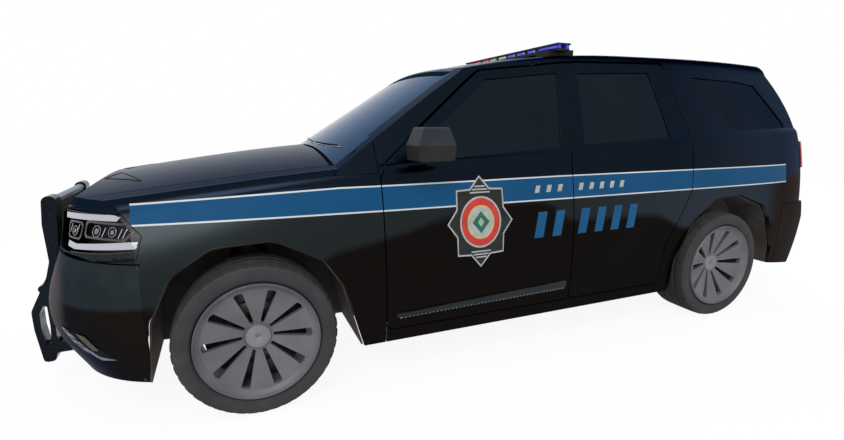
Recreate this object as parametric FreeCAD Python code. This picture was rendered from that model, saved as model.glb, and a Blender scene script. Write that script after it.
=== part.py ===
"""Police patrol car: a three-row sport-utility vehicle with hinged doors, hood and
tailgate, rolling and steered wheels, a roof light bar and a push bumper.

Millimetres. The body is laid out with x = 0 at the front axle, x forwards, y to the
left and z up from the ground. Every solid is then moved along x by ORIGIN_SHIFT, so
that the model's own origin is on the ground in the middle of its length and width.
"""
import FreeCAD
import Part
import math
import os

V = FreeCAD.Vector

# ---------------------------------------------------------------- driving dimensions
WHEELBASE = 3043.0
TRACK_OUTER = 2020.0           # across the outer sidewalls of a pair of wheels
TYRE_RADIUS = 370.0
TYRE_WIDTH = 290.0
RIM_RADIUS = 280.0
SPOKES = 10
NOSE_REACH = 930.0             # front axle to the bumper's foremost point
TAIL_REACH = 1191.0            # rear axle to the rear bumper's last point
PUSH_BAR_REACH = 1040.0        # front axle to the push bumper's foremost point
GROUND_CLEARANCE = 218.0       # under the sills and bumpers

DOOR_WALL = 60.0               # door skin to door card
JAMB_WALL = 28.0               # the stepped jamb inboard of a door
SKIN = 24.0                    # fenders, hood and bumper covers
ROOF_SKIN = 34.0
GLASS = 6.0
GLASS_INSET = 7.0
PANEL_GAP = 6.0
FRAME_GAP = 14.0               # between the two doors' window frames
TAILGATE_GAP = 13.0            # beside the tailgate, whose slanting edges rise as it swings

LINER = 9.0
LINER_EDGE_Y = 905.0

STEER_AXIS_Y = 820.0
HUB_RADIUS = 34.0
HUB_REACH = 68.0               # the spindle's end, outboard of the wheel's middle plane
RUNNING_CLEARANCE = 0.05       # radial, hub in wheel
RIM_STAND_OUT = 3.0            # the rim's lip past the tyre's sidewall
RIM_WALL = 14.0
SPOKE_END = 250.0
SLOT_INNER = 70.0
SLOT_OUTER = 246.0
SLOT_INNER_HALF = 8.0
SLOT_OUTER_HALF = 21.0
SLOT_POINT = 6.0               # how far the wide end comes to a point
SHIELD_PLATE_RADIUS = 236.0    # pressed plate behind the brake
SHIELD_PLATE_SETBACK = 5.0     # inboard of the wheel's middle plane
SHIELD_PLATE_THICKNESS = 6.0

WINDSHIELD_BASE_X = -423.0     # on the centre line
WINDSHIELD_BASE_Z = 1195.0
WINDSHIELD_RAKE = 32.0         # degrees above the horizontal
WINDSHIELD_BOW = 5500.0        # radius across the car

FRONT_AXLE_X = 0.0
REAR_AXLE_X = -WHEELBASE
NOSE_X = NOSE_REACH
TAIL_X = REAR_AXLE_X - TAIL_REACH
ORIGIN_SHIFT = -(PUSH_BAR_REACH + TAIL_X) / 2.0
WHEEL_Y = (TRACK_OUTER - TYRE_WIDTH) / 2.0

Z_LOW = GROUND_CLEARANCE
Z_MID = 700.0
SHOULDER_RADIUS = 62.0
FAR = 1600.0                   # past every surface of the car
BEHIND = TAIL_X - 166.0        # past the tail

FRONT_END_X = -600.0           # last station of the front end's own form
FENDER_EDGE_Y = 700.0

# Lower body, one row per station: the half widths at the sill, at the widest line and
# at the shoulder, then the heights of the shoulder and of the hood's centre line.
BODY_ROWS = [
    (980.0, 880.0, 905.0, 735.0, 985.0, 1024.0),
    (400.0, 915.0, 938.0, 812.0, 1045.0, 1113.0),
    (-100.0, 925.0, 950.0, 850.0, 1100.0, 1175.0),
    (FRONT_END_X, 928.0, 950.0, 880.0, 1140.0, 1213.0),
    (-1800.0, 928.0, 950.0, 884.0, 1195.0, 1270.0),
    (REAR_AXLE_X + 343.0, 928.0, 952.0, 878.0, 1240.0, 1310.0),
    (REAR_AXLE_X - 357.0, 925.0, 948.0, 862.0, 1285.0, 1350.0),
    (REAR_AXLE_X - 807.0, 892.0, 915.0, 825.0, 1305.0, 1370.0),
    (REAR_AXLE_X - 1207.0, 790.0, 812.0, 730.0, 1315.0, 1380.0),
]
# Greenhouse: the half widths at the belt and at the roof rail, then the heights of the
# rail and of the roof's centre line.
ROOF_ROWS = [
    (-300.0, 858.0, 626.0, 1500.0, 1524.0),
    (-1230.0, 868.0, 650.0, 1658.0, 1682.0),
    (-1800.0, 870.0, 662.0, 1742.0, 1766.0),
    (REAR_AXLE_X + 543.0, 866.0, 665.0, 1772.0, 1795.0),
    (REAR_AXLE_X - 257.0, 850.0, 655.0, 1774.0, 1796.0),
    (REAR_AXLE_X - 757.0, 815.0, 632.0, 1759.0, 1778.0),
    (REAR_AXLE_X - 1207.0, 735.0, 585.0, 1738.0, 1752.0),
]
RAIL_RADIUS = 72.0
GREENHOUSE_ROOT = 66.0         # the side glass surface starts this far below the shoulder
GREENHOUSE_TUCK = 6.0
GREENHOUSE_FLARE = 0.25        # outwards for each unit that an inner wall starts lower
SIDE_GLASS_BOW = 8.0
# Nose in plan, one row per height: the foremost point, the ends of the front arc, the
# middle of the corner arc and where that arc meets the side.
NOSE_ROWS = [
    (120.0, 790.0, 760.0, 400.0, 640.0, 745.0, 420.0, 895.0),
    (360.0, 900.0, 874.0, 420.0, 732.0, 772.0, 420.0, 928.0),
    (560.0, NOSE_X, 904.0, 450.0, 748.0, 790.0, 420.0, 940.0),
    (760.0, 888.0, 842.0, 470.0, 672.0, 768.0, 420.0, 935.0),
    (970.0, 862.0, 800.0, 480.0, 618.0, 722.0, 420.0, 872.0),
    (1130.0, 850.0, 785.0, 480.0, 600.0, 712.0, 420.0, 850.0),
    (1320.0, 820.0, 755.0, 480.0, 580.0, 702.0, 420.0, 850.0),
]
# Tail in side view: the outer surface's x on the centre line at each height.
TAIL_ROWS = [
    (1900.0, TAIL_X + 544.0),
    (1770.0, TAIL_X + 456.0),
    (1272.0, TAIL_X + 152.0),
    (1000.0, TAIL_X + 108.0),
    (735.0, TAIL_X + 98.0),
    (200.0, TAIL_X + 104.0),
]
# The rear bumper stands out further, with flat bands between these heights.
BUMPER_TAIL_ROWS = [
    (800.0, TAIL_X + 66.0),
    (609.0, TAIL_X),
    (501.0, TAIL_X + 25.0),
    (250.0, TAIL_X + 100.0),
    (80.0, TAIL_X + 154.0),
]
TAIL_BOW = 74.0                # how much further forward the tail is at its corners
TAIL_CORNER_Y = 820.0

DOOR_FRONT_X = -634.0
DOOR_SEAM_X = -1796.0          # rear edge of the front doors
REAR_FLOOR_X = REAR_AXLE_X + 483.0    # where the floor steps up behind the rear footwell

# Side outlines as (x, z, corner radius).
FRONT_ARCH_OUTLINE = [
    (480.0, 60.0, 0.0),
    (441.0, 500.0, 110.0),
    (345.0, 700.0, 110.0),
    (170.0, 812.0, 130.0),
    (-100.0, 822.0, 130.0),
    (-330.0, 700.0, 110.0),
    (-420.0, 560.0, 90.0),
    (-556.0, 60.0, 0.0),
]
REAR_ARCH_OUTLINE = [
    (REAR_AXLE_X + 401.0, 60.0, 0.0),
    (REAR_AXLE_X + 391.0, 450.0, 100.0),
    (REAR_AXLE_X + 257.0, 690.0, 110.0),
    (REAR_AXLE_X + 43.0, 830.0, 120.0),
    (REAR_AXLE_X - 207.0, 845.0, 120.0),
    (REAR_AXLE_X - 487.0, 750.0, 90.0),
    (REAR_AXLE_X - 557.0, 660.0, 60.0),
    (REAR_AXLE_X - 647.0, 430.0, 80.0),
    (REAR_AXLE_X - 661.0, 60.0, 0.0),
]
REAR_RISE_OUTLINE = [           # cut away under the body behind the rear wheels
    (REAR_AXLE_X - 437.0, 0.0, 0.0),
    (REAR_AXLE_X - 437.0, 322.0, 0.0),
    (REAR_AXLE_X - 1277.0, 195.0, 0.0),
    (REAR_AXLE_X - 1277.0, 0.0, 0.0),
]
DOOR_BOTTOM = 292.0
FRONT_DOOR_OUTLINE = [
    (DOOR_FRONT_X, DOOR_BOTTOM, 40.0),
    (DOOR_FRONT_X, 1080.0, 60.0),
    (-672.0, 1146.0, 60.0),
    (-1300.0, 1634.0, 70.0),
    (-1912.0, 1702.0, 12.0),
    (DOOR_SEAM_X, 1120.0, 120.0),
    (DOOR_SEAM_X, DOOR_BOTTOM, 30.0),
]
REAR_DOOR_OUTLINE = [
    (DOOR_SEAM_X - PANEL_GAP, DOOR_BOTTOM, 30.0),
    (DOOR_SEAM_X - PANEL_GAP, 1120.0, 120.0),
    (-1912.0 - FRAME_GAP, 1703.0, 12.0),
    (REAR_AXLE_X + 353.0, 1722.0, 50.0),
    (REAR_AXLE_X + 241.0, 1240.0, 90.0),
    (REAR_AXLE_X + 273.0, 900.0, 160.0),
    (REAR_AXLE_X + 487.0, 560.0, 140.0),
    (REAR_AXLE_X + 513.0, DOOR_BOTTOM, 40.0),
]
FRONT_WINDOW_OUTLINE = [
    (-761.0, 1146.0, 14.0),
    (-1334.0, 1588.0, 20.0),
    (-1820.0, 1640.0, 12.0),
    (-1752.0, 1204.0, 12.0),
]
REAR_WINDOW_OUTLINE = [
    (-1924.0, 1215.0, 12.0),
    (-1966.0, 1640.0, 12.0),
    (REAR_AXLE_X + 491.0, 1664.0, 12.0),
    (REAR_AXLE_X + 410.0, 1247.0, 12.0),
]
QUARTER_WINDOW_OUTLINE = [
    (REAR_AXLE_X - 194.0, 1288.0, 14.0),
    (REAR_AXLE_X + 120.0, 1646.0, 14.0),
    (REAR_AXLE_X - 357.0, 1630.0, 200.0),
    (REAR_AXLE_X - 560.0, 1605.0, 20.0),
    (REAR_AXLE_X - 840.0, 1300.0, 14.0),
]
FRONT_OPENING_OUTLINE = [
    (-690.0, 345.0, 60.0),
    (-690.0, 1070.0, 60.0),
    (-735.0, 1140.0, 40.0),
    (-1316.0, 1592.0, 60.0),
    (-1842.0, 1655.0, 40.0),
    (-1735.0, 1100.0, 120.0),
    (-1735.0, 345.0, 60.0),
]
REAR_OPENING_OUTLINE = [
    (-1868.0, 345.0, 60.0),
    (-1868.0, 1100.0, 150.0),
    (-1975.0, 1657.0, 40.0),
    (REAR_AXLE_X + 403.0, 1675.0, 60.0),
    (REAR_AXLE_X + 298.0, 1240.0, 80.0),
    (REAR_AXLE_X + 343.0, 930.0, 140.0),
    (REAR_AXLE_X + 543.0, 600.0, 120.0),
    (REAR_AXLE_X + 573.0, 345.0, 60.0),
]
HOOD_OUTLINE = [                # in plan, left half, as (x, y)
    (900.0, 0.0),
    (900.0, 560.0),
    (640.0, 640.0),
    (400.0, 668.0),
    (-100.0, 712.0),
    (-425.0, 738.0),
]
HOOD_REAR_X = -398.0
HOOD_CLEARANCE = 12.0          # hood to windshield
FLANGE = 24.0                  # a door's edge is this thick
FLANGE_WIDTH = 30.0
SEAL_GAP = 14.0                # round the doors' window frames
SEAL_LOW_Z = 1270.0
HOOD_LIP_Z = 986.0
LAMP_OUTLINE = [
    (1000.0, 775.0, 0.0),
    (1000.0, 968.0, 0.0),
    (512.0, 968.0, 10.0),
    (434.0, 880.0, 10.0),
    (458.0, 790.0, 10.0),
    (640.0, 768.0, 60.0),
]
LAMP_INNER_Y = 498.0
GRILLE_HALF_WIDTH = 488.0
GRILLE_BOTTOM = 700.0
GRILLE_TOP = 962.0
BUMPER_TOP = 765.0
TAILGATE_TOP_X = TAIL_X + 512.0
TAILGATE_OUTLINE = [            # seen from behind, right half, as (y, z, radius)
    (640.0, 745.0, 30.0),
    (690.0, 900.0, 60.0),
    (640.0, 1290.0, 60.0),
    (566.0, 1650.0, 60.0),
    (560.0, 1800.0, 10.0),
]
REAR_WINDOW_CORNERS = [
    (600.0, 1325.0, 40.0),
    (522.0, 1668.0, 40.0),
]
TAIL_LAMP_OUTLINE = [           # seen from behind, as (y, z, radius)
    (706.0, 1020.0, 20.0),
    (940.0, 985.0, 0.0),
    (940.0, 1215.0, 0.0),
    (690.0, 1180.0, 20.0),
]
TAIL_LAMP_DEPTH = 45.0
TAIL_LAMP_STAND_OUT = 26.0
TAIL_LAMP_FRONT_X = TAIL_X + 189.0
REAR_BUMPER_TOP = 735.0
PLATE_HOLE_RADIUS = 3.5
PLATE_SPACING = 177.8
PLATE_Z = 1010.0
HITCH_Z = 372.0
HITCH_MOUTH_X = TAIL_X + 2.0
HITCH_LENGTH = 280.0
HITCH_INNER = 51.0             # square opening of the receiver tube
HITCH_OUTER = 63.5
HITCH_PIN_RADIUS = 8.0
HITCH_PIN_SETBACK = 48.0       # from the receiver's mouth to its cross pin
REAR_BUMPER_FRONT_X = TAIL_X + 474.0
SIDE_FRAME_INNER_Y = 440.0
DOOR_INNER_Y = 548.0
ROOF_SEAM_Y = 545.0
WINDSHIELD_TOP_X = -1175.0
SHIELD_FOOT_Z = 1100.0
PILLAR_WIDTH = 88.0
PILLAR_FOOT_X = -405.0
PILLAR_FOOT_Z = 1096.0
DASH_HALF_WIDTH = 690.0
PILLAR_LIFT = 60.0             # keeps the pane's top edge up at the roof
TOWER_Y = 430.0                # suspension towers beside the front rails
TOWER_HALF = 16.0
ENGINE_BOX = (-380.0, 330.0, -300.0, 300.0, 430.0, 930.0)    # x, y and z ranges
SEAT_Y = 390.0
SEAT_HALF_WIDTH = 255.0
FRONT_SEAT_X = -1730.0         # where the cushion meets the backrest
REAR_SEAT_X = REAR_FLOOR_X
CUSHION_LENGTH = 500.0
CUSHION_TOP = 690.0
CUSHION_THICKNESS = 130.0
BACK_HEIGHT = 640.0
BACK_FOOT_Z = 590.0
BACK_THICKNESS = 120.0
BACK_RAKE = 20.0
STEERING_X = -1165.0
STEERING_Z = 1015.0
STEERING_TILT = 26.0           # of its axis above the horizontal
STEERING_RADIUS = 178.0
STEERING_GRIP = 16.0
KINGPIN_RADIUS = 12.0
KNUCKLE_RADIUS = 40.0
KNUCKLE_LOW_Z = 238.0
KNUCKLE_TOP_Z = 520.0
ARM_THICKNESS = 26.0
ARM_HALF_WIDTH = 34.0
STRUT_Y = 572.0
STRUT_RADIUS = 44.0
LIGHT_BAR_X = -1918.0
LIGHT_BAR_HALF_LENGTH = 610.0
LIGHT_BAR_HALF_DEPTH = 42.0
LIGHT_BAR_Z = 1780.0           # its underside
LIGHT_BAR_PLATE = 14.0
LIGHT_BAR_TOP = 1826.0
LIGHT_BAR_LID = 10.0
LIGHT_BAR_LIP = 8.0            # the lid reaches past the lenses
LIGHT_BAR_WEB = 20.0           # half thickness of the wall between the lenses
LENS_SETBACK = 3.0
LENS_MIDDLE_GAP = 4.0
LIGHT_BAR_FEET = (-2030.0, -1842.0, 420.0, 560.0)     # x and y ranges
EXHAUST_RADIUS = 25.0
PUSH_OUTLINE = [                # one upright in side view
    (862.0, 1000.0, 30.0),
    (922.0, 1000.0, 36.0),
    (936.0, 860.0, 60.0),
    (932.0, 670.0, 60.0),
    (955.0, 590.0, 50.0),
    (PUSH_BAR_REACH, 420.0, 60.0),
    (PUSH_BAR_REACH, 320.0, 60.0),
    (1022.0, 140.0, 20.0),
    (972.0, 140.0, 20.0),
    (960.0, 184.0, 14.0),
    (890.0, 184.0, 8.0),
    (890.0, 232.0, 8.0),
    (952.0, 244.0, 20.0),
    (948.0, 430.0, 40.0),
    (926.0, 500.0, 30.0),
    (926.0, 620.0, 30.0),
    (884.0, 740.0, 60.0),
]
PUSH_WINDOW = [                 # the opening in the loop at its foot
    (972.0, 470.0, 16.0),
    (1008.0, 404.0, 24.0),
    (1010.0, 322.0, 24.0),
    (1000.0, 232.0, 14.0),
    (980.0, 232.0, 10.0),
    (972.0, 330.0, 60.0),
]
PUSH_BARS = [(893.0, 968.0, 20.0), (990.0, 520.0, 20.0), (1000.0, 186.0, 22.0)]
PUSH_Y = 290.0
PUSH_WIDTH = 80.0
COWL_HALF_WIDTH = 745.0
COWL_REAR_X = -540.0
COWL_DROP = 32.0
COWL_SKIN = 20.0
LAMP_DEPTH = 70.0
GRILLE_SETBACK = 14.0
GRILLE_DEPTH = 26.0
BUMPER_REAR_X = 452.0
INTAKE_HALF_WIDTH = 430.0
INTAKE_BOTTOM = 330.0
INTAKE_TOP = 520.0
WHEELHOUSE_WALL_Y = 455.0
REAR_HOUSE_WALL_Y = 640.0
FLOOR_Z = 330.0
FLOOR_SKIN = 34.0
FLOOR_HALF_WIDTH = 815.0
REAR_FLOOR_HALF = 610.0
REAR_SEAT_HALF = 560.0
FIREWALL_X = -540.0
REAR_FLOOR_Z = 540.0
RAIL_Y = 372.0
RAIL_WIDTH = 76.0
RAIL_FRONT_X = 700.0
RAIL_FRONT_Z = 430.0
RAIL_LOW_Z = 236.0
RAIL_REAR_Z = 415.0
JACK_PAD_X = (-900.0, -2350.0)
JACK_PAD_Y = (846.0, 892.0)
JACK_PAD_HALF = 45.0
JACK_PAD_Z = 212.0


# ---------------------------------------------------------------- helpers
def ring(start, steps):
    """Closed wire. Each step is an end point, or a (middle, end) pair for an arc."""
    edges = []
    here = start
    for step in steps:
        if isinstance(step, tuple):
            middle, end = step
            edges.append(Part.Arc(here, middle, end).toShape())
        else:
            end = step
            edges.append(Part.makeLine(here, end))
        here = end
    if here.distanceToPoint(start) > 1e-6:
        edges.append(Part.makeLine(here, start))
    return Part.Wire(edges)


def loft(wires):
    return Part.makeLoft(wires, True, False)


def rounded(corners, place):
    """Closed wire through corners (a, b, radius), each rounded with a tangent arc."""
    points = [(a, b) for a, b, _ in corners]
    ends = []
    for i, (a, b, radius) in enumerate(corners):
        before = points[i - 1]
        after = points[(i + 1) % len(points)]
        to_before = V(before[0] - a, before[1] - b, 0)
        to_after = V(after[0] - a, after[1] - b, 0)
        half = to_before.getAngle(to_after) / 2.0
        reach = radius / math.tan(half)
        reach = min(reach, 0.49 * to_before.Length, 0.49 * to_after.Length)
        to_before.normalize()
        to_after.normalize()
        corner = V(a, b, 0)
        first = corner + to_before * reach
        last = corner + to_after * reach
        bisector = (to_before + to_after).normalize()
        true_radius = reach * math.tan(half)
        middle = corner + bisector * (true_radius / math.sin(half) - true_radius)
        ends.append((first, middle, last, radius > 0))
    edges = []
    for i, (first, middle, last, is_arc) in enumerate(ends):
        if is_arc:
            arc = [place(p.x, p.y) for p in (first, middle, last)]
            edges.append(Part.Arc(*arc).toShape())
        following = ends[(i + 1) % len(ends)][0]
        if (following - last).Length > 1e-6:
            edges.append(Part.makeLine(place(last.x, last.y), place(following.x, following.y)))
    return Part.Wire(edges)


def prism_y(corners, low=0.0, high=FAR):
    """Outline in side view (x, z, radius), through y from low to high."""
    wire = rounded(corners, lambda a, b: V(a, low, b))
    return Part.Face(wire).extrude(V(0, high - low, 0))


def prism_x(corners, low, high):
    """Outline seen from the front (y, z, radius), through x from low to high."""
    wire = rounded(corners, lambda a, b: V(low, a, b))
    return Part.Face(wire).extrude(V(high - low, 0, 0))


def box(x0, x1, y0, y1, z0, z1):
    return Part.makeBox(x1 - x0, y1 - y0, z1 - z0, V(x0, y0, z0))


def grown(corners, gap):
    """The outline moved outwards by gap on every side (inwards if negative)."""
    points = [(a, b) for a, b, _ in corners]
    area = sum(points[i - 1][0] * b - a * points[i - 1][1] for i, (a, b) in enumerate(points))
    turn = 1.0 if area > 0 else -1.0
    moved = []
    for i, (a, b, radius) in enumerate(corners):
        before = points[i - 1]
        after = points[(i + 1) % len(points)]
        into = V(a - before[0], b - before[1], 0).normalize()
        out = V(after[0] - a, after[1] - b, 0).normalize()
        normal_in = V(into.y, -into.x, 0) * turn
        normal_out = V(out.y, -out.x, 0) * turn
        middle = normal_in + normal_out
        shift = middle * (2.0 * gap / (middle.Length ** 2))
        moved.append((a + shift.x, b + shift.y, max(radius + gap, 0.0) if radius else 0.0))
    return moved


def mirrored(shape):
    return shape.mirror(V(0, 0, 0), V(0, 1, 0))


def both_sides(shape):
    return Part.makeCompound([shape, mirrored(shape)])


def solids(shape, least=1000.0):
    """The shape's solids, without crumbs smaller than least cubic millimetres."""
    found = [s for s in shape.Solids if s.Volume > least]
    return found[0] if len(found) == 1 else Part.makeCompound(found)


def cylinder_y(radius, x, z, low, high):
    return Part.makeCylinder(radius, high - low, V(x, low, z), V(0, 1, 0))


def fuse(shapes):
    made = shapes[0]
    for shape in shapes[1:]:
        made = made.fuse(shape)
    return made.removeSplitter()


# ---------------------------------------------------------------- body surfaces
def shoulder(x, y_top, z_top, side):
    """The shoulder arc's side end, middle and top end."""
    r = SHOULDER_RADIUS
    bend = r * (1.0 - math.sqrt(0.5))
    return (V(x, side * (y_top + 6.0), z_top - r), V(x, side * (y_top - bend + 2.0), z_top - bend),
            V(x, side * (y_top - r), z_top))


def front_section(row, t):
    """Full section of the hood and fenders at one station, t inside the skin."""
    x, y_low, y_mid, y_top, z_top, z_crown = row
    z_low = Z_LOW - (100.0 if t else 0.0)
    low = V(x, y_low - t, z_low)
    left = shoulder(x, y_top - t, z_top - t, 1.0)
    right = shoulder(x, y_top - t, z_top - t, -1.0)
    steps = [(V(x, y_mid - t, Z_MID), left[0]), (left[1], left[2]),
             (V(x, 0, z_crown - t), right[2]), (right[1], right[0]),
             (V(x, -(y_mid - t), Z_MID), V(x, -low.y, z_low))]
    return ring(low, steps)


def nose_section(row, t):
    """Plan outline of the nose at one height, t inside the skin, closed far back."""
    z, x_nose, x_front, y_front, x_mid, y_mid, x_side, y_side = row
    slant = 0.7 * t
    front = V(x_front - t, y_front - 0.2 * t, z)
    middle = V(x_mid - slant, y_mid - slant, z)
    side = V(x_side - 0.2 * t, y_side - t, z)
    back = V(-700.0, FAR, z)
    start = V(-700.0, -FAR, z)
    flare = V(x_side - 130.0, FAR, z)
    right_front, right_middle = V(front.x, -front.y, z), V(middle.x, -middle.y, z)
    steps = [V(flare.x, -FAR, z), V(side.x, -side.y, z), (right_middle, right_front),
             (V(x_nose - t, 0, z), front), (middle, side), flare, back]
    return ring(start, steps)


def front_form(t):
    """The whole front end as one block, t inside its skin."""
    rows = [r for r in BODY_ROWS if r[0] >= FRONT_END_X]
    block = loft([front_section(r, t) for r in rows])
    nose = loft([nose_section(r, t) for r in NOSE_ROWS])
    slope = math.radians(47.0)
    brow = [(-700.0, 0.0, 0.0), (-700.0, 1400.0, 0.0), (430.0, 1400.0, 0.0)]
    back = V(640.0, 1106.0, 0)
    away = V(math.sin(slope), math.cos(slope), 0) * -t
    along = V(math.cos(slope), -math.sin(slope), 0)
    top = back + away - along * 400.0
    bottom = back + away + along * 400.0
    brow[2] = (top.x, 1400.0, 0.0)
    brow += [(top.x, top.y, 0.0), (bottom.x, bottom.y, 0.0), (1200.0, bottom.y, 0.0), (1200.0, 0.0, 0.0)]
    return block.common(nose).common(prism_y(brow, -FAR, FAR))


def greenhouse_section(row, t):
    """Full section of the greenhouse at one station, t inside its surface."""
    x, y_belt, y_rail, z_edge, z_crown = row
    z_base = shoulder_height(x) - GREENHOUSE_ROOT - t
    y_base = y_belt + GREENHOUSE_TUCK - t + GREENHOUSE_FLARE * t
    z_side = z_edge - RAIL_RADIUS
    waist = V(x, (y_base + y_rail - t) / 2.0 + SIDE_GLASS_BOW, (z_base + z_side) / 2.0)
    side = V(x, y_rail - t, z_side)
    turn = V(x, y_rail - 20.0 - 0.85 * t, z_edge - 20.0 - 0.6 * t)
    edge = V(x, y_rail - RAIL_RADIUS - 0.7 * t, z_edge - t)
    steps = [(waist, side), (turn, edge), (V(x, 0, z_crown - t), V(x, -edge.y, edge.z)),
             (V(x, -turn.y, turn.z), V(x, -side.y, side.z)),
             (V(x, -waist.y, waist.z), V(x, -y_base, z_base))]
    return ring(V(x, y_base, z_base), steps)


def greenhouse_form(t):
    """The whole cabin above the belt as one block, t inside its surface."""
    return loft([greenhouse_section(r, t) for r in ROOF_ROWS])


def lower_form(t):
    """The whole lower body behind the front doors' hinges as one block, t inside."""
    return loft([front_section(r, t) for r in BODY_ROWS if r[0] < 0.0])


def shoulder_height(x):
    """Height of the shoulder line at x, between the body's stations."""
    for ahead, behind in zip(BODY_ROWS, BODY_ROWS[1:]):
        if behind[0] <= x <= ahead[0]:
            share = (x - behind[0]) / (ahead[0] - behind[0])
            return behind[4] + share * (ahead[4] - behind[4])
    return BODY_ROWS[-1][4]


def windshield_form(t):
    """Everything behind the windshield's outer surface, t inside it: a long round bar."""
    rake = math.radians(WINDSHIELD_RAKE)
    along = V(-math.cos(rake), 0, math.sin(rake))
    inwards = V(-math.sin(rake), 0, -math.cos(rake))
    middle = V(WINDSHIELD_BASE_X, 0, WINDSHIELD_BASE_Z) + inwards * WINDSHIELD_BOW
    return Part.makeCylinder(WINDSHIELD_BOW - t, 8000.0, middle - along * 4000.0, along)


def tail_wires(rows, t):
    wires = []
    for z, x in rows:
        side = x + t + TAIL_BOW
        wires.append(ring(V(side, -TAIL_CORNER_Y, z), [
            (V(x + t, 0, z), V(side, TAIL_CORNER_Y, z)), V(side + 300.0, FAR, z), V(FAR, FAR, z),
            V(FAR, -FAR, z), V(side + 300.0, -FAR, z)]))
    return wires


def tail_form(t):
    """Everything ahead of the tail's outer surface, t inside it."""
    return loft(tail_wires(TAIL_ROWS, t))


def bumper_tail_form(t):
    """Everything ahead of the rear bumper's outer surface, t inside it."""
    return Part.makeLoft(tail_wires(BUMPER_TAIL_ROWS, t), True, True)


# ---------------------------------------------------------------- outer panels
def arch_cut(gap):
    """Left front wheel opening, gap larger all round."""
    return prism_y(grown(FRONT_ARCH_OUTLINE, gap), WHEELHOUSE_WALL_Y, FAR)


def rear_arch_cut(gap):
    """Left rear wheel opening, gap larger all round."""
    return prism_y(grown(REAR_ARCH_OUTLINE, gap), REAR_HOUSE_WALL_Y, FAR)


def plan_prism(corners, z0, z1):
    """Left-half plan outline (x, y), mirrored about the centre line, from z0 to z1."""
    points = [V(x, y, z0) for x, y in corners]
    points += [V(x, -y, z0) for x, y in reversed(corners) if y > 0.0]
    wire = Part.makePolygon(points + [points[0]])
    return Part.Face(wire).extrude(V(0, 0, z1 - z0))


def hood_plan(gap):
    rear = (HOOD_REAR_X - gap, 0.0)
    outline = [(x, y + gap if y else 0.0) for x, y in HOOD_OUTLINE[:-1]]
    last_x, last_y = HOOD_OUTLINE[-1]
    return plan_prism(outline + [(last_x - gap, last_y + gap), (rear[0] - 22.0, 380.0), rear],
                      HOOD_LIP_Z - gap, 1400.0)


def lamp_prism(gap):
    inner = LAMP_INNER_Y - gap
    return prism_y(grown(LAMP_OUTLINE, gap), inner, FAR)


def front_panels():
    """Hood, fenders, bumper cover, lamps, grille and cowl, all cut from one shell."""
    outer = front_form(0.0)
    shell = outer.cut(front_form(SKIN))
    thick = outer.cut(front_form(LAMP_DEPTH))
    glass_zone = windshield_form(0.0).common(box(-700.0, 0.0, -FAR, FAR, SHIELD_FOOT_Z, 1400.0))
    ahead = box(DOOR_FRONT_X + PANEL_GAP, 1200.0, -FAR, FAR, 0.0, 1400.0)
    shell = shell.common(ahead)

    near_glass = windshield_form(-HOOD_CLEARANCE).common(box(-700.0, 0.0, -FAR, FAR, SHIELD_FOOT_Z, 1400.0))
    hood = shell.common(hood_plan(0.0)).cut(near_glass)
    lamp_hole = lamp_prism(PANEL_GAP / 2.0)
    lamps = thick.common(lamp_prism(0.0))
    grille_hole = box(600.0, 1200.0, -GRILLE_HALF_WIDTH, GRILLE_HALF_WIDTH, GRILLE_BOTTOM, GRILLE_TOP)
    grille = front_form(GRILLE_SETBACK).cut(front_form(GRILLE_SETBACK + GRILLE_DEPTH)).common(grille_hole)
    cowl_zone = box(COWL_REAR_X, HOOD_REAR_X - PANEL_GAP, -COWL_HALF_WIDTH, COWL_HALF_WIDTH, 1000.0, 1400.0)
    rest = shell.cut(hood_plan(PANEL_GAP)).cut(both_sides(lamp_hole))
    rest = rest.cut(both_sides(arch_cut(0.0))).cut(glass_zone)
    cowl = front_form(COWL_DROP).cut(front_form(COWL_DROP + COWL_SKIN)).common(cowl_zone)
    rest = rest.cut(grown_box(cowl_zone, PANEL_GAP))
    bumper_zone = box(BUMPER_REAR_X, 1200.0, -FAR, FAR, 0.0, BUMPER_TOP)
    header_zone = box(600.0, 1200.0, -LAMP_INNER_Y, LAMP_INNER_Y, BUMPER_TOP, HOOD_LIP_Z)
    bumper = rest.common(bumper_zone.fuse(header_zone)).cut(grille_hole)
    intake = box(600.0, 1200.0, -INTAKE_HALF_WIDTH, INTAKE_HALF_WIDTH, INTAKE_BOTTOM, INTAKE_TOP)
    bumper = bumper.cut(intake)
    fenders = rest.cut(grown_box(bumper_zone, PANEL_GAP)).cut(grown_box(header_zone, PANEL_GAP))
    foot = pillar_foot(glass_zone, cowl_zone)
    edge = fender_edge(glass_zone)
    fenders = fuse([fenders] + foot.Solids + mirrored(foot).Solids + edge.Solids + mirrored(edge).Solids)
    return {
        "hood": solids(hood, 1e5),
        "front_fenders": solids(fenders, 1e5),
        "front_bumper": solids(bumper, 1e5),
        "headlamps": solids(both_sides(lamps), 1e4),
        "grille": solids(grille, 1e4),
        "cowl_panel": solids(cowl, 1e4),
    }


def fender_edge(glass_zone):
    """Strip that carries the left fender back to the door, past the front sections' end."""
    zone = box(DOOR_FRONT_X + PANEL_GAP, FRONT_END_X, FENDER_EDGE_Y, FAR, 0.0, 1400.0)
    return lower_form(0.0).cut(lower_form(SKIN)).common(zone).cut(glass_zone)


def pillar_foot(glass_zone, cowl_zone):
    """Foot of the left windshield pillar, carried forwards over the fender's top."""
    zone = box(DOOR_FRONT_X + PANEL_GAP, PILLAR_FOOT_X, 600.0, FAR, PILLAR_FOOT_Z, 1400.0)
    foot = greenhouse_form(0.0).common(windshield_form(0.0)).common(zone)
    return foot.cut(pane_zone()).cut(grown_box(cowl_zone, PANEL_GAP)).cut(hood_plan(PANEL_GAP))


def pane_zone():
    """The space between the windshield pillars."""
    between = greenhouse_form(PILLAR_WIDTH)
    between.translate(V(0, 0, PILLAR_LIFT))
    return between


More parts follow.
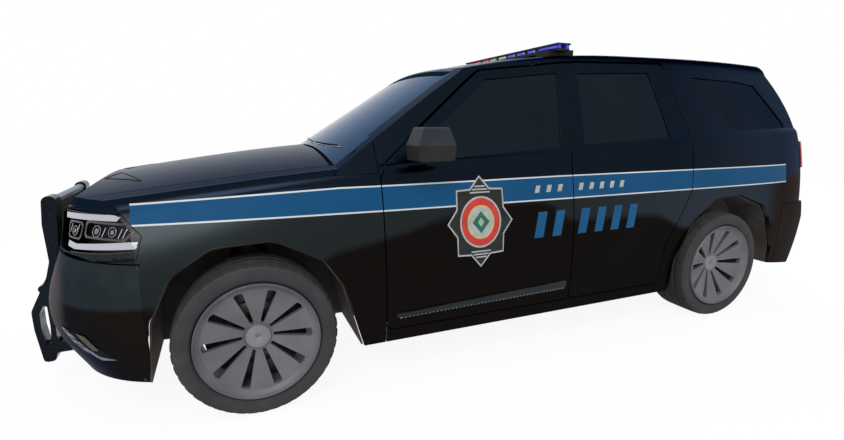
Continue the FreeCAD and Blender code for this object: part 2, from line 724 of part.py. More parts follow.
def grown_box(shape, gap):
    b = shape.BoundBox
    return box(b.XMin - gap, b.XMax + gap, b.YMin - gap, b.YMax + gap, b.ZMin - gap, b.ZMax + gap)


def door_outlines():
    return {"front": (FRONT_DOOR_OUTLINE, FRONT_WINDOW_OUTLINE, FRONT_OPENING_OUTLINE),
            "rear": (REAR_DOOR_OUTLINE, REAR_WINDOW_OUTLINE, REAR_OPENING_OUTLINE)}


def across(corners):
    """A right-half outline from behind (y, z, radius), closed with its mirror image."""
    return [(-y, z, r) for y, z, r in reversed(corners)] + corners


def plate_holes():
    """Two screw holes for a number plate, through the tailgate."""
    holes = [Part.makeCylinder(PLATE_HOLE_RADIUS, 400.0, V(BEHIND, y, PLATE_Z), V(1, 0, 0))
             for y in (-PLATE_SPACING / 2.0, PLATE_SPACING / 2.0)]
    return Part.makeCompound(holes)


def rear_bumper():
    """Bumper cover with a flat top behind the tailgate and a notch for the hitch."""
    hollow = lower_form(SKIN).common(bumper_tail_form(SKIN))
    shelf = box(BEHIND, REAR_BUMPER_FRONT_X, -FAR, FAR, REAR_BUMPER_TOP - SKIN, REAR_BUMPER_TOP)
    hollow = hollow.cut(shelf.cut(tail_form(DOOR_WALL + SKIN)))
    bumper = lower_form(0.0).common(bumper_tail_form(0.0)).cut(hollow)
    bumper = bumper.common(box(BEHIND, REAR_BUMPER_FRONT_X, -FAR, FAR, 0.0, REAR_BUMPER_TOP))
    bumper = bumper.cut(both_sides(rear_arch_cut(0.0))).cut(prism_y(REAR_RISE_OUTLINE, -FAR, FAR))
    return solids(bumper.cut(box(BEHIND, TAIL_X + 134.0, -70.0, 70.0, HITCH_Z - 60.0, HITCH_Z + 60.0)), 1e5)


def jack_pads():
    """Flat pads under the left sill, where a jack lifts the car."""
    y0, y1 = JACK_PAD_Y
    return [box(x - JACK_PAD_HALF, x + JACK_PAD_HALF, y0, y1, JACK_PAD_Z, Z_LOW + 12.0) for x in JACK_PAD_X]


def cabin_panels():
    """Doors with their glass, the side frames, the roof, tailgate, lamps and glazing."""
    made = {}
    shield = windshield_form(0.0)
    tail = tail_form(0.0)
    outer = lower_form(0.0).fuse(greenhouse_form(0.0).common(shield)).common(tail)
    door_inner = lower_form(DOOR_WALL).fuse(greenhouse_form(DOOR_WALL))
    frame_inner = lower_form(DOOR_WALL + JAMB_WALL).fuse(greenhouse_form(DOOR_WALL + JAMB_WALL))
    door_shell = outer.cut(door_inner)
    flange_shell = outer.cut(lower_form(FLANGE).fuse(greenhouse_form(FLANGE)))
    glass_outer = lower_form(GLASS_INSET).fuse(greenhouse_form(GLASS_INSET))
    glass_inner = lower_form(GLASS_INSET + GLASS).fuse(greenhouse_form(GLASS_INSET + GLASS))
    glass_shell = glass_outer.cut(glass_inner)
    left = box(BEHIND, 0.0, 0.0, FAR, 0.0, 2000.0)

    # The frame is the whole side wall, stepped where a door closes against it.
    recess_inner = lower_form(DOOR_WALL + PANEL_GAP).fuse(greenhouse_form(DOOR_WALL + PANEL_GAP))
    recess = box(BEHIND, 0.0, 0.0, FAR, 0.0, 2000.0).cut(recess_inner)
    frame = outer.cut(frame_inner).common(left)
    frame = frame.common(box(BEHIND, DOOR_FRONT_X, SIDE_FRAME_INNER_Y, FAR, 0.0, 2000.0))
    frame = frame.cut(box(BEHIND, 0.0, 0.0, ROOF_SEAM_Y + 1.0, 1500.0, 2000.0))
    for name, (outline, window, opening) in door_outlines().items():
        core = door_shell.common(prism_y(grown(outline, -FLANGE_WIDTH), DOOR_INNER_Y))
        door = core.fuse(flange_shell.common(prism_y(outline, DOOR_INNER_Y)))
        door = door.cut(prism_y(window)).cut(rear_arch_cut(PANEL_GAP))
        glass = glass_shell.common(prism_y(window))
        seal = prism_y(grown(outline, SEAL_GAP)).common(box(BEHIND, 0.0, 0.0, FAR, SEAL_LOW_Z, 2000.0))
        frame = frame.cut(recess.common(prism_y(grown(outline, PANEL_GAP)).fuse(seal)))
        frame = frame.cut(prism_y(opening))
        for side, turn in (("left", lambda s: s), ("right", mirrored)):
            made[name + "_door_" + side] = turn(solids(door, 1e5))
            made[name + "_door_glass_" + side] = turn(solids(glass, 1e4))
    frame = frame.cut(prism_y(QUARTER_WINDOW_OUTLINE)).cut(rear_arch_cut(0.0))
    quarter = glass_shell.common(prism_y(QUARTER_WINDOW_OUTLINE))
    made["quarter_windows"] = both_sides(solids(quarter, 1e4))

    # Tail: corner posts, tailgate, bumper and lamps.
    tail_wall = outer.cut(tail_form(DOOR_WALL))
    gate = prism_x(across(TAILGATE_OUTLINE), BEHIND, TAIL_X + 734.0)
    gate_gap = prism_x(grown(across(TAILGATE_OUTLINE), TAILGATE_GAP), BEHIND, TAIL_X + 734.0)
    window = prism_x(across(REAR_WINDOW_CORNERS), BEHIND, TAIL_X + 734.0)
    behind = box(BEHIND, TAILGATE_TOP_X, -FAR, FAR, 0.0, 2000.0)
    tailgate = tail_wall.common(gate).common(behind).cut(window).cut(plate_holes())
    made["tailgate"] = solids(tailgate, 1e5)
    pane = tail_form(GLASS_INSET).cut(tail_form(GLASS_INSET + GLASS)).common(window).common(outer)
    made["tailgate_glass"] = solids(pane, 1e4)
    bumper_zone = box(BEHIND, REAR_BUMPER_FRONT_X, 0.0, FAR, 0.0, REAR_BUMPER_TOP)
    corner = tail_wall.common(left).cut(gate_gap)
    gate_recess = outer.cut(tail_form(DOOR_WALL + PANEL_GAP)).common(gate_gap)
    gate_recess = gate_recess.common(grown_box(behind, PANEL_GAP))
    frame = fuse([frame.common(tail), corner]).cut(gate_recess).cut(grown_box(bumper_zone, PANEL_GAP))
    lamp_zone = prism_x(TAIL_LAMP_OUTLINE, BEHIND, TAIL_LAMP_FRONT_X)
    lamp_block = tail_form(-TAIL_LAMP_STAND_OUT).cut(tail_form(TAIL_LAMP_DEPTH)).common(lower_form(-6.0))
    lamp = lamp_block.common(lamp_zone).cut(gate_gap)
    frame = frame.cut(prism_x(grown(TAIL_LAMP_OUTLINE, 1.0), BEHIND, TAIL_LAMP_FRONT_X + 1.0))
    made["tail_lamps"] = both_sides(solids(lamp, 1e4))
    made["rear_bumper"] = rear_bumper()
    frame = fuse([frame.cut(prism_y(REAR_RISE_OUTLINE))] + jack_pads())
    made["side_frame_left"] = solids(frame, 1e6)
    made["side_frame_right"] = mirrored(made["side_frame_left"])

    # Roof between the rails, and the windshield between the pillars.
    roof_zone = box(BEHIND, 0.0, -ROOF_SEAM_Y, ROOF_SEAM_Y, 1500.0, 2000.0)
    lining = greenhouse_form(ROOF_SKIN).common(windshield_form(ROOF_SKIN))
    roof = greenhouse_form(0.0).common(shield).common(tail).cut(lining).common(roof_zone)
    roof = roof.cut(box(BEHIND, 0.0, -FAR, FAR, 0.0, 1500.0))
    roof = roof.common(box(TAILGATE_TOP_X + PANEL_GAP, WINDSHIELD_TOP_X, -FAR, FAR, 1500.0, 2000.0))
    made["roof_panel"] = solids(roof, 1e5)
    pane = shield.cut(windshield_form(GLASS)).common(pane_zone()).common(greenhouse_form(0.0))
    pane = pane.common(box(WINDSHIELD_TOP_X + 2.0, HOOD_REAR_X - 10.0, -FAR, FAR, 1000.0, 2000.0))
    pane = pane.cut(front_form(COWL_DROP)).cut(lower_form(0.0)).cut(both_sides(frame))
    made["windshield"] = solids(pane, 1e4)
    return made


# ---------------------------------------------------------------- wheels and chassis
def turned(profile, x, y, z, axis):
    """Solid of revolution from (radius, along) points about an axis through (x, y, z)."""
    wire = Part.makePolygon([V(r, 0, a) for r, a in profile + profile[:1]])
    solid = Part.Face(wire).revolve(V(0, 0, 0), V(0, 0, 1), 360.0)
    turn = FreeCAD.Rotation(V(0, 0, 1), axis)
    solid.Placement = FreeCAD.Placement(V(x, y, z), turn)
    return solid


def tyre_profile():
    half = TYRE_WIDTH / 2.0
    tread = TYRE_RADIUS
    return [(RIM_RADIUS, half - 22.0), (RIM_RADIUS + 14.0, half - 6.0), (RIM_RADIUS + 45.0, half),
            (tread - 30.0, half - 4.0), (tread - 8.0, half - 18.0), (tread, half - 34.0),
            (tread, -half + 34.0), (tread - 8.0, -half + 18.0), (tread - 30.0, -half + 4.0),
            (RIM_RADIUS + 45.0, -half), (RIM_RADIUS + 14.0, -half + 6.0), (RIM_RADIUS, -half + 22.0)]


def rim_profile():
    """Dished rim: the hub sits well inside the plane of the outer lip."""
    bore = HUB_RADIUS + RUNNING_CLEARANCE
    lip = TYRE_WIDTH / 2.0 + RIM_STAND_OUT
    inner = RIM_RADIUS - RIM_WALL
    return [(bore, 20.0), (bore, HUB_REACH + 4.0), (58.0, HUB_REACH + 6.0), (64.0, HUB_REACH - 2.0),
            (SPOKE_END, 116.0), (inner, lip - 16.0), (RIM_RADIUS - 4.0, lip), (RIM_RADIUS, lip - 6.0),
            (RIM_RADIUS, -122.0), (inner, -122.0), (inner, 98.0), (SPOKE_END, 92.0), (64.0, 42.0),
            (60.0, 20.0)]


def spoke_slots():
    """Tapered openings between the spokes, wide at the rim."""
    slots = []
    for i in range(SPOKES):
        corner_x = SLOT_OUTER - SLOT_POINT
        corners = [(SLOT_INNER, -SLOT_INNER_HALF), (corner_x, -SLOT_OUTER_HALF), (SLOT_OUTER, 0.0),
                   (corner_x, SLOT_OUTER_HALF), (SLOT_INNER, SLOT_INNER_HALF)]
        wire = Part.makePolygon([V(a, b, 20.0) for a, b in corners + corners[:1]])
        slot = Part.Face(wire).extrude(V(0, 0, 120.0))
        slot.rotate(V(0, 0, 0), V(0, 0, 1), 360.0 / SPOKES * i)
        slots.append(slot)
    return Part.makeCompound(slots)


def wheels():
    made = {}
    for axle, x in (("front", FRONT_AXLE_X), ("rear", REAR_AXLE_X)):
        for side, sign in (("left", 1.0), ("right", -1.0)):
            out = V(0, sign, 0)
            centre = (x, sign * WHEEL_Y, TYRE_RADIUS)
            made["tyre_%s_%s" % (axle, side)] = turned(tyre_profile(), *centre, out)
            rim = turned(rim_profile(), 0, 0, 0, V(0, 0, 1)).cut(spoke_slots())
            rim.Placement = FreeCAD.Placement(V(*centre), FreeCAD.Rotation(V(0, 0, 1), out))
            made["rim_%s_%s" % (axle, side)] = rim
    return made


def knuckle():
    """Left steering knuckle: an upright about the kingpin with the wheel's spindle."""
    x, y = FRONT_AXLE_X, STEER_AXIS_Y
    upright = Part.makeCylinder(KNUCKLE_RADIUS, KNUCKLE_TOP_Z - KNUCKLE_LOW_Z, V(x, y, KNUCKLE_LOW_Z))
    pin_length = KNUCKLE_TOP_Z - KNUCKLE_LOW_Z + 2.0 * ARM_THICKNESS
    pin = Part.makeCylinder(KINGPIN_RADIUS, pin_length, V(x, y, KNUCKLE_LOW_Z - ARM_THICKNESS))
    spindle = cylinder_y(HUB_RADIUS, x, TYRE_RADIUS, y, WHEEL_Y + HUB_REACH)
    return fuse([upright, pin, spindle, shield_plate(x)])


def shield_plate(x):
    """Round plate behind the left brake of the axle at x."""
    y = WHEEL_Y - SHIELD_PLATE_SETBACK
    return cylinder_y(SHIELD_PLATE_RADIUS, x, TYRE_RADIUS, y, y + SHIELD_PLATE_THICKNESS)


def arm(z0, x, inner_y, outer_y, bore):
    """Flat suspension arm with an eye at its outer end."""
    plate = box(x - ARM_HALF_WIDTH, x + ARM_HALF_WIDTH, inner_y, outer_y, z0, z0 + ARM_THICKNESS)
    eye = Part.makeCylinder(ARM_HALF_WIDTH, ARM_THICKNESS, V(x, outer_y, z0))
    hole = Part.makeCylinder(bore, 4.0 * ARM_THICKNESS, V(x, outer_y, z0 - ARM_THICKNESS))
    return plate.fuse(eye).cut(hole)


def front_suspension():
    bore = KINGPIN_RADIUS + RUNNING_CLEARANCE
    lower = arm(KNUCKLE_LOW_Z - ARM_THICKNESS, FRONT_AXLE_X, TOWER_Y, STEER_AXIS_Y, bore)
    upper = arm(KNUCKLE_TOP_Z, FRONT_AXLE_X, TOWER_Y, STEER_AXIS_Y, bore)
    strut = Part.makeCylinder(STRUT_RADIUS, 660.0, V(FRONT_AXLE_X, STRUT_Y, KNUCKLE_LOW_Z - 10.0))
    half = fuse([lower, upper, strut])
    outer = TOWER_Y + TOWER_HALF
    cross = box(-150.0, 120.0, -outer, outer, KNUCKLE_LOW_Z - 40.0, KNUCKLE_LOW_Z + 20.0)
    towers = box(-60.0, 60.0, TOWER_Y - TOWER_HALF, outer, KNUCKLE_LOW_Z, KNUCKLE_TOP_Z + ARM_THICKNESS)
    return fuse([half, mirrored(half), cross, towers, mirrored(towers)])


def rear_suspension():
    x = REAR_AXLE_X
    spindle = cylinder_y(HUB_RADIUS, x, TYRE_RADIUS, 560.0, WHEEL_Y + HUB_REACH)
    carrier = cylinder_y(90.0, x, TYRE_RADIUS, 600.0, 660.0)
    link = box(x - 45.0, x + 45.0, 300.0, 640.0, 250.0, 290.0)
    post = box(x - 40.0, x + 40.0, 600.0, 640.0, 250.0, TYRE_RADIUS)
    spring = Part.makeCylinder(48.0, REAR_FLOOR_Z - FLOOR_SKIN - 270.0, V(x - 10.0, 520.0, 270.0))
    shaft = cylinder_y(26.0, x, TYRE_RADIUS, 0.0, 620.0)
    case = Part.makeSphere(110.0, V(x, 0, TYRE_RADIUS))
    half = fuse([spindle, carrier, link, post, spring, shaft, shield_plate(x)])
    cross = box(x - 60.0, x + 60.0, -340.0, 340.0, 235.0, 300.0)
    return fuse([half, mirrored(half), cross, case])


def underbody():
    """Floor pan, rails and the hitch receiver in one welded piece."""
    rear_x = TAIL_X + 150.0
    kick_x = REAR_FLOOR_X - FLOOR_SKIN
    low, high = REAR_FLOOR_Z - FLOOR_SKIN, REAR_FLOOR_Z
    floor = box(REAR_FLOOR_X, FIREWALL_X, -FLOOR_HALF_WIDTH, FLOOR_HALF_WIDTH, FLOOR_Z - FLOOR_SKIN, FLOOR_Z)
    kick = box(kick_x, REAR_FLOOR_X, -REAR_FLOOR_HALF, REAR_FLOOR_HALF, FLOOR_Z - FLOOR_SKIN, high)
    rear_floor = box(rear_x, REAR_FLOOR_X, -REAR_FLOOR_HALF, REAR_FLOOR_HALF, low, high)
    pieces = [floor, kick, rear_floor]
    for sign in (1.0, -1.0):
        y0, y1 = sign * RAIL_Y - RAIL_WIDTH / 2.0, sign * RAIL_Y + RAIL_WIDTH / 2.0
        front = box(FIREWALL_X - 20.0, RAIL_FRONT_X, y0, y1, RAIL_FRONT_Z, RAIL_FRONT_Z + 110.0)
        drop = box(FIREWALL_X - 100.0, FIREWALL_X + 40.0, y0, y1, RAIL_LOW_Z, RAIL_FRONT_Z + 110.0)
        middle = box(kick_x, FIREWALL_X - 20.0, y0, y1, RAIL_LOW_Z, FLOOR_Z - 10.0)
        rise = box(kick_x - 46.0, REAR_FLOOR_X, y0, y1, RAIL_LOW_Z, high - 10.0)
        rear = box(rear_x, kick_x, y0, y1, RAIL_REAR_Z, high - 10.0)
        pieces += [front, drop, middle, rise, rear]
    return fuse(pieces + [hitch_receiver()])


def hitch_receiver():
    """Square receiver tube with a cross-pin hole, hung under the rear floor."""
    half = HITCH_OUTER / 2.0
    bore = HITCH_INNER / 2.0
    front_x = HITCH_MOUTH_X + HITCH_LENGTH
    outside = box(HITCH_MOUTH_X, front_x, -half, half, HITCH_Z - half, HITCH_Z + half)
    hanger = box(front_x - 120.0, front_x, -half, half, HITCH_Z, REAR_FLOOR_Z - FLOOR_SKIN / 2.0)
    inside = box(HITCH_MOUTH_X - 10.0, front_x - 12.0, -bore, bore, HITCH_Z - bore, HITCH_Z + bore)
    pin = cylinder_y(HITCH_PIN_RADIUS, HITCH_MOUTH_X + HITCH_PIN_SETBACK, HITCH_Z, -half - 5.0, half + 5.0)
    return outside.fuse(hanger).cut(inside).cut(pin)


def wheelhouses():
    """Liners over the four wheels; the front ones leave room for steered wheels."""
    made = []
    front = liner(FRONT_ARCH_OUTLINE, WHEELHOUSE_WALL_Y, Z_LOW)
    front = front.cut(box(-90.0, 90.0, 0.0, 700.0, 0.0, 900.0))
    rear = liner(REAR_ARCH_OUTLINE, REAR_HOUSE_WALL_Y, Z_LOW).cut(prism_y(REAR_RISE_OUTLINE))
    rear = rear.cut(box(REAR_AXLE_X - 110.0, REAR_AXLE_X + 110.0, 0.0, 700.0, 0.0, 520.0))
    for half in (front, rear):
        made += [half, mirrored(half)]
    return made


def liner(outline, wall_y, low):
    """Lining of one left wheel opening: its rim and its inner wall, above low."""
    outside = prism_y(grown(outline, -1.0), wall_y - LINER, LINER_EDGE_Y)
    inside = prism_y(grown(outline, -1.0 - LINER), wall_y, FAR)
    return outside.cut(inside).common(box(BEHIND, FAR, 0.0, FAR, low, FAR))


# ---------------------------------------------------------------- cabin
def slanted_box(length, y_half, thickness, x, y, z, degrees):
    """Cushion standing on its lower front edge, leaning backwards."""
    block = Part.makeBox(thickness, 2.0 * y_half, length, V(-thickness, -y_half, 0))
    block.rotate(V(0, 0, 0), V(0, 1, 0), -degrees)
    block.translate(V(x, y, z))
    return block


def seat_set(x, centres, half_width):
    cushions = []
    backs = []
    bases = []
    for y in centres:
        cushions.append(box(x, x + CUSHION_LENGTH, y - half_width, y + half_width,
                            CUSHION_TOP - CUSHION_THICKNESS, CUSHION_TOP))
        backs.append(slanted_box(BACK_HEIGHT, half_width, BACK_THICKNESS, x - 2.0, y, BACK_FOOT_Z, BACK_RAKE))
        bases.append(box(x + 40.0, x + CUSHION_LENGTH - 60.0, y - half_width + 40.0, y + half_width - 40.0,
                         FLOOR_Z, CUSHION_TOP - CUSHION_THICKNESS))
    return Part.makeCompound(cushions), Part.makeCompound(backs), bases


def steering_axis():
    tilt = math.radians(STEERING_TILT)
    return V(-math.cos(tilt), 0, math.sin(tilt))


def steering_wheel():
    axis = steering_axis()
    centre = V(STEERING_X, SEAT_Y, STEERING_Z)
    grip = Part.makeTorus(STEERING_RADIUS, STEERING_GRIP, centre, axis)
    hub = Part.makeCylinder(52.0, 50.0, centre - axis * 34.0, axis)
    spokes = []
    side = V(0, 1, 0)
    down = axis.cross(side)
    for angle in (0.0, 180.0, 90.0):
        way = side * math.cos(math.radians(angle)) + down * math.sin(math.radians(angle))
        spokes.append(Part.makeCylinder(12.0, STEERING_RADIUS, centre - axis * 8.0, way + axis * 0.04))
    return fuse([grip, hub] + spokes)


def dashboard():
    profile = [(-545.0, 800.0, 0.0), (-545.0, 1050.0, 0.0), (-700.0, 1075.0, 30.0), (-900.0, 1040.0, 40.0),
               (-900.0, 860.0, 40.0), (-760.0, 780.0, 20.0)]
    dash = prism_y(profile, -DASH_HALF_WIDTH, DASH_HALF_WIDTH)
    axis = steering_axis()
    centre = V(STEERING_X, SEAT_Y, STEERING_Z)
    column = Part.makeCylinder(34.0, 300.0, centre - axis * 336.0, axis)
    console = box(-1560.0, -800.0, -105.0, 105.0, FLOOR_Z, 640.0)
    riser = box(-860.0, -700.0, -105.0, 105.0, FLOOR_Z, 820.0)
    return fuse([dash, column, console, riser])


def firewall():
    wall = box(FIREWALL_X, FIREWALL_X + 24.0, -740.0, 740.0, FLOOR_Z - FLOOR_SKIN, 1060.0)
    return wall.cut(underbody())


# ---------------------------------------------------------------- fittings
def light_bar():
    length = LIGHT_BAR_HALF_LENGTH
    depth = LIGHT_BAR_HALF_DEPTH
    lid = depth + LIGHT_BAR_LIP
    x = LIGHT_BAR_X
    base = box(x - depth, x + depth, -length, length, LIGHT_BAR_Z, LIGHT_BAR_Z + LIGHT_BAR_PLATE)
    top = box(x - lid, x + lid, -length, length, LIGHT_BAR_TOP - LIGHT_BAR_LID, LIGHT_BAR_TOP)
    web_length = length - 20.0
    web = box(x - LIGHT_BAR_WEB, x + LIGHT_BAR_WEB, -web_length, web_length, LIGHT_BAR_Z, LIGHT_BAR_TOP)
    return fuse([base, top, web])


def light_bar_lenses():
    """Clear blocks along both long faces: a blue half and a red half."""
    low, high = LIGHT_BAR_Z + LIGHT_BAR_PLATE, LIGHT_BAR_TOP - LIGHT_BAR_LID
    lenses = []
    for sign in (1.0, -1.0):
        for face in (1.0, -1.0):
            inner, outer = LIGHT_BAR_WEB, LIGHT_BAR_HALF_DEPTH - LENS_SETBACK
            x0, x1 = sorted((LIGHT_BAR_X + face * inner, LIGHT_BAR_X + face * outer))
            y0, y1 = sorted((sign * LENS_MIDDLE_GAP, sign * (LIGHT_BAR_HALF_LENGTH - 2.0 * LENS_SETBACK)))
            lenses.append(box(x0, x1, y0, y1, low, high))
    return Part.makeCompound(lenses[:2]), Part.makeCompound(lenses[2:])


def light_bar_feet(roof_form):
    x0, x1, y0, y1 = LIGHT_BAR_FEET
    foot = box(x0, x1, y0, y1, 1700.0, LIGHT_BAR_Z + LIGHT_BAR_PLATE).cut(roof_form)
    return [foot, mirrored(foot)]


def push_bumper():
    """Two uprights, a loop at the foot of each and cross bars, ahead of the grille."""
    half = PUSH_WIDTH / 2.0
    upright = prism_y(PUSH_OUTLINE, PUSH_Y - half, PUSH_Y + half)
    upright = upright.cut(prism_y(PUSH_WINDOW, PUSH_Y - half, PUSH_Y + half))
    bars = [cylinder_y(radius, x, z, -PUSH_Y, PUSH_Y) for x, z, radius in PUSH_BARS]
    return fuse([upright, mirrored(upright)] + bars)


def mirror_left():
    shell = [(-740.0, 1190.0, 20.0), (-785.0, 1330.0, 30.0), (-935.0, 1330.0, 30.0), (-960.0, 1200.0, 20.0),
             (-880.0, 1165.0, 20.0)]
    head = prism_y(shell, 925.0, 1070.0)
    stalk = box(-900.0, -800.0, 868.0, 930.0, 1175.0, 1215.0)
    return fuse([head, stalk])


def tube(points, radius):
    """Straight runs of round tube joined by balls."""
    pieces = []
    for start, end in zip(points, points[1:]):
        pieces.append(Part.makeCylinder(radius, (end - start).Length, start, end - start))
        pieces.append(Part.makeSphere(radius, end))
    return fuse(pieces[:-1])


def exhaust():
    """Pipe under the floor, over the rear axle and out behind the right rail."""
    x = REAR_AXLE_X
    route = [V(-900.0, -150.0, 262.0), V(x + 363.0, -150.0, 262.0), V(x + 193.0, -180.0, 452.0),
             V(x - 197.0, -180.0, 452.0), V(x - 377.0, -250.0, 300.0), V(x - 757.0, -520.0, 300.0),
             V(TAIL_X + 154.0, -520.0, 300.0)]
    muffler = box(x + 503.0, x + 1043.0, -240.0, -60.0, RAIL_LOW_Z, 290.0)
    return fuse([tube(route, EXHAUST_RADIUS), muffler])


# ---------------------------------------------------------------- assembly
def build():
    nodes = {}
    nodes.update(front_panels())
    nodes.update(cabin_panels())
    nodes.update(wheels())
    nodes["knuckle_left"] = knuckle()
    nodes["knuckle_right"] = mirrored(nodes["knuckle_left"])
    nodes["front_suspension"] = front_suspension()
    nodes["rear_suspension"] = rear_suspension()
    nodes["underbody"] = underbody()
    nodes["wheelhouse_liners"] = Part.makeCompound(wheelhouses())
    nodes["firewall"] = firewall()
    x0, x1, y0, y1, z0, z1 = ENGINE_BOX
    nodes["engine_block"] = box(x0, x1, y0, y1, z0, z1)
    nodes["dashboard"] = dashboard()
    nodes["steering_wheel"] = steering_wheel()
    front = seat_set(FRONT_SEAT_X, (SEAT_Y, -SEAT_Y), SEAT_HALF_WIDTH)
    rear = seat_set(REAR_SEAT_X, (0.0,), REAR_SEAT_HALF)
    nodes["front_seat_cushions"], nodes["front_seat_backs"] = front[:2]
    nodes["rear_seat_cushion"], nodes["rear_seat_back"] = rear[:2]
    nodes["seat_frames"] = Part.makeCompound(front[2] + rear[2])
    bar = light_bar()
    nodes["light_bar"] = fuse([bar] + light_bar_feet(greenhouse_form(-1.0)))
    nodes["light_bar_blue"], nodes["light_bar_red"] = light_bar_lenses()
    nodes["push_bumper"] = push_bumper().cut(front_form(0.0))
    skin = lower_form(0.0).fuse(greenhouse_form(0.0))
    nodes["mirror_left"] = mirror_left().cut(skin)
    nodes["mirror_right"] = mirrored(nodes["mirror_left"])
    nodes["exhaust"] = exhaust()
    return nodes


os.makedirs("parts", exist_ok=True)
for name, shape in build().items():
    placed = shape.copy()
    placed.translate(V(ORIGIN_SHIFT, 0, 0))
    placed.exportStep("parts/%s.step" % name)
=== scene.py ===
"""Looks of the police patrol car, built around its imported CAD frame.

Metres, x forwards, y to the car's left, z up, with the origin on the ground under the
middle of the car, as in the frame. Points given through at() have x counted from the
front axle. Helpers come first, then materials, then one function for each part of the car.
"""
import math

import bmesh
import bpy
from mathutils import Matrix, Vector
from mathutils.bvhtree import BVHTree


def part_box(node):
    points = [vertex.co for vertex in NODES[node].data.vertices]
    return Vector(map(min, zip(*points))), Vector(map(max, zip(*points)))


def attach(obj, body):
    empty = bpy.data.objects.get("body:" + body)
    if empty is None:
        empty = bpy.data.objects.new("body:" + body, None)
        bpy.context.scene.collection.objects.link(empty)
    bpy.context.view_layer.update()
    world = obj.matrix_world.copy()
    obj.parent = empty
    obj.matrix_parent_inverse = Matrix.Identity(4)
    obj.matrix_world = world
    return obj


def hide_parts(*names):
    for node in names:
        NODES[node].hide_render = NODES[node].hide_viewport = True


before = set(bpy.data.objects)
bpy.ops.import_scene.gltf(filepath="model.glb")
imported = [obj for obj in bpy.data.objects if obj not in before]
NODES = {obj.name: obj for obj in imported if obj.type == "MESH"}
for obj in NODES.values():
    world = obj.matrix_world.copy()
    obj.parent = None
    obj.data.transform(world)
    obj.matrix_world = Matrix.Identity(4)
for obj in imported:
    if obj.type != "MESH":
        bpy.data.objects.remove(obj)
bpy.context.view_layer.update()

SIDES = (("left", 1.0), ("right", -1.0))


# ---------------------------------------------------------------- sizes from the frame
def centre_of(node):
    low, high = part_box(node)
    return [(a + b) / 2.0 for a, b in zip(low, high)]


FRONT_AXLE_X, WHEEL_Y, AXLE_Z = centre_of("tyre_front_left")
REAR_AXLE_X = centre_of("tyre_rear_left")[0]

# ---------------------------------------------------------------- objects
def new_object(name, data):
    thing = bpy.data.objects.new(name, data)
    bpy.context.collection.objects.link(thing)
    return thing


def aimed(thing, place, way):
    """Puts a camera or lamp at a place, looking along a way."""
    thing.location = place
    thing.rotation_mode = "QUATERNION"
    thing.rotation_quaternion = way.to_track_quat("-Z", "Y")


# ---------------------------------------------------------------- camera
CAMERA_AHEAD = 0.0733          # of the front axle
CAMERA_LEFT = 3.1377
CAMERA_HEIGHT = 1.3736
CAMERA_HEADING = -112.3515     # degrees from +x towards +y
CAMERA_PITCH = -12.16
FOCAL_SHARE = 0.562014218      # focal length over the sensor's width
SENSOR = 36.0


def make_camera():
    data = bpy.data.cameras.new("camera")
    camera = new_object("camera", data)
    heading, pitch = math.radians(CAMERA_HEADING), math.radians(CAMERA_PITCH)
    flat = math.cos(pitch)
    way = Vector((math.cos(heading) * flat, math.sin(heading) * flat, math.sin(pitch)))
    aimed(camera, (FRONT_AXLE_X + CAMERA_AHEAD, CAMERA_LEFT, CAMERA_HEIGHT), way)
    data.sensor_width = SENSOR
    data.lens = SENSOR * FOCAL_SHARE
    data.clip_start = 0.05
    bpy.context.scene.camera = camera


# ---------------------------------------------------------------- material helpers
def rgba(r, g, b):
    return (r, g, b, 1.0)


def scaled(colour, share):
    return rgba(*(c * share for c in colour[:3]))


def feed(tree, node, **values):
    """Sets or links input sockets by name, with underscores for spaces."""
    for key, value in values.items():
        socket = node.inputs[key.replace("_", " ")]
        if isinstance(value, bpy.types.NodeSocket):
            tree.links.new(value, socket)
        else:
            socket.default_value = value
    return node


def added(tree, kind, **values):
    """New shader node with its inputs set or linked."""
    return feed(tree, tree.nodes.new("ShaderNode" + kind), **values)


def new_material(name):
    """Material with its node tree and its shader."""
    material = bpy.data.materials.new(name)
    material.use_nodes = True
    return material, material.node_tree, material.node_tree.nodes["Principled BSDF"]


def noise(tree, scale, detail=4.0, stretch=None):
    """Noise in object coordinates, so that it stays on the surface as the part moves."""
    source = added(tree, "TexCoord").outputs["Object"]
    if stretch:
        source = added(tree, "Mapping", Scale=stretch, Vector=source).outputs["Vector"]
    return added(tree, "TexNoise", Scale=scale, Detail=detail, Vector=source).outputs["Fac"]


def ramp(tree, source, low, dark, high, light):
    """Colour that goes from dark at low to light at high."""
    node = added(tree, "ValToRGB", Fac=source)
    for element, place, colour in zip(node.color_ramp.elements, (low, high), (dark, light)):
        element.position = place
        element.color = colour
    return node.outputs["Color"]


def between(tree, source, low, high):
    """The source, 0 to 1, spread from low to high."""
    return added(tree, "MapRange", To_Min=low, To_Max=high, Value=source).outputs["Result"]


def step(tree, source, low, high):
    """0 at low, 1 at high, and smooth between."""
    node = added(tree, "MapRange", From_Min=low, From_Max=high, Value=source)
    node.interpolation_type = "SMOOTHSTEP"
    return node.outputs["Result"]


def calculated(tree, operation, *values):
    """Math node over numbers and sockets."""
    node = added(tree, "Math")
    node.operation = operation
    for socket, value in zip(node.inputs, values):
        if isinstance(value, bpy.types.NodeSocket):
            tree.links.new(value, socket)
        else:
            socket.default_value = value
    return node.outputs["Value"]


def mixed(tree, share, first, second):
    """Colour mixed from first to second, each a colour or a socket."""
    node = added(tree, "Mix", Factor=share)
    node.data_type = "RGBA"
    for socket, value in ((node.inputs[6], first), (node.inputs[7], second)):
        if isinstance(value, tuple):
            socket.default_value = value
        else:
            tree.links.new(value, socket)
    return node.outputs[2]


def bumped(tree, shader, height, strength, distance):
    node = added(tree, "Bump", Strength=strength, Distance=distance, Height=height)
    feed(tree, shader, Normal=node.outputs["Normal"])


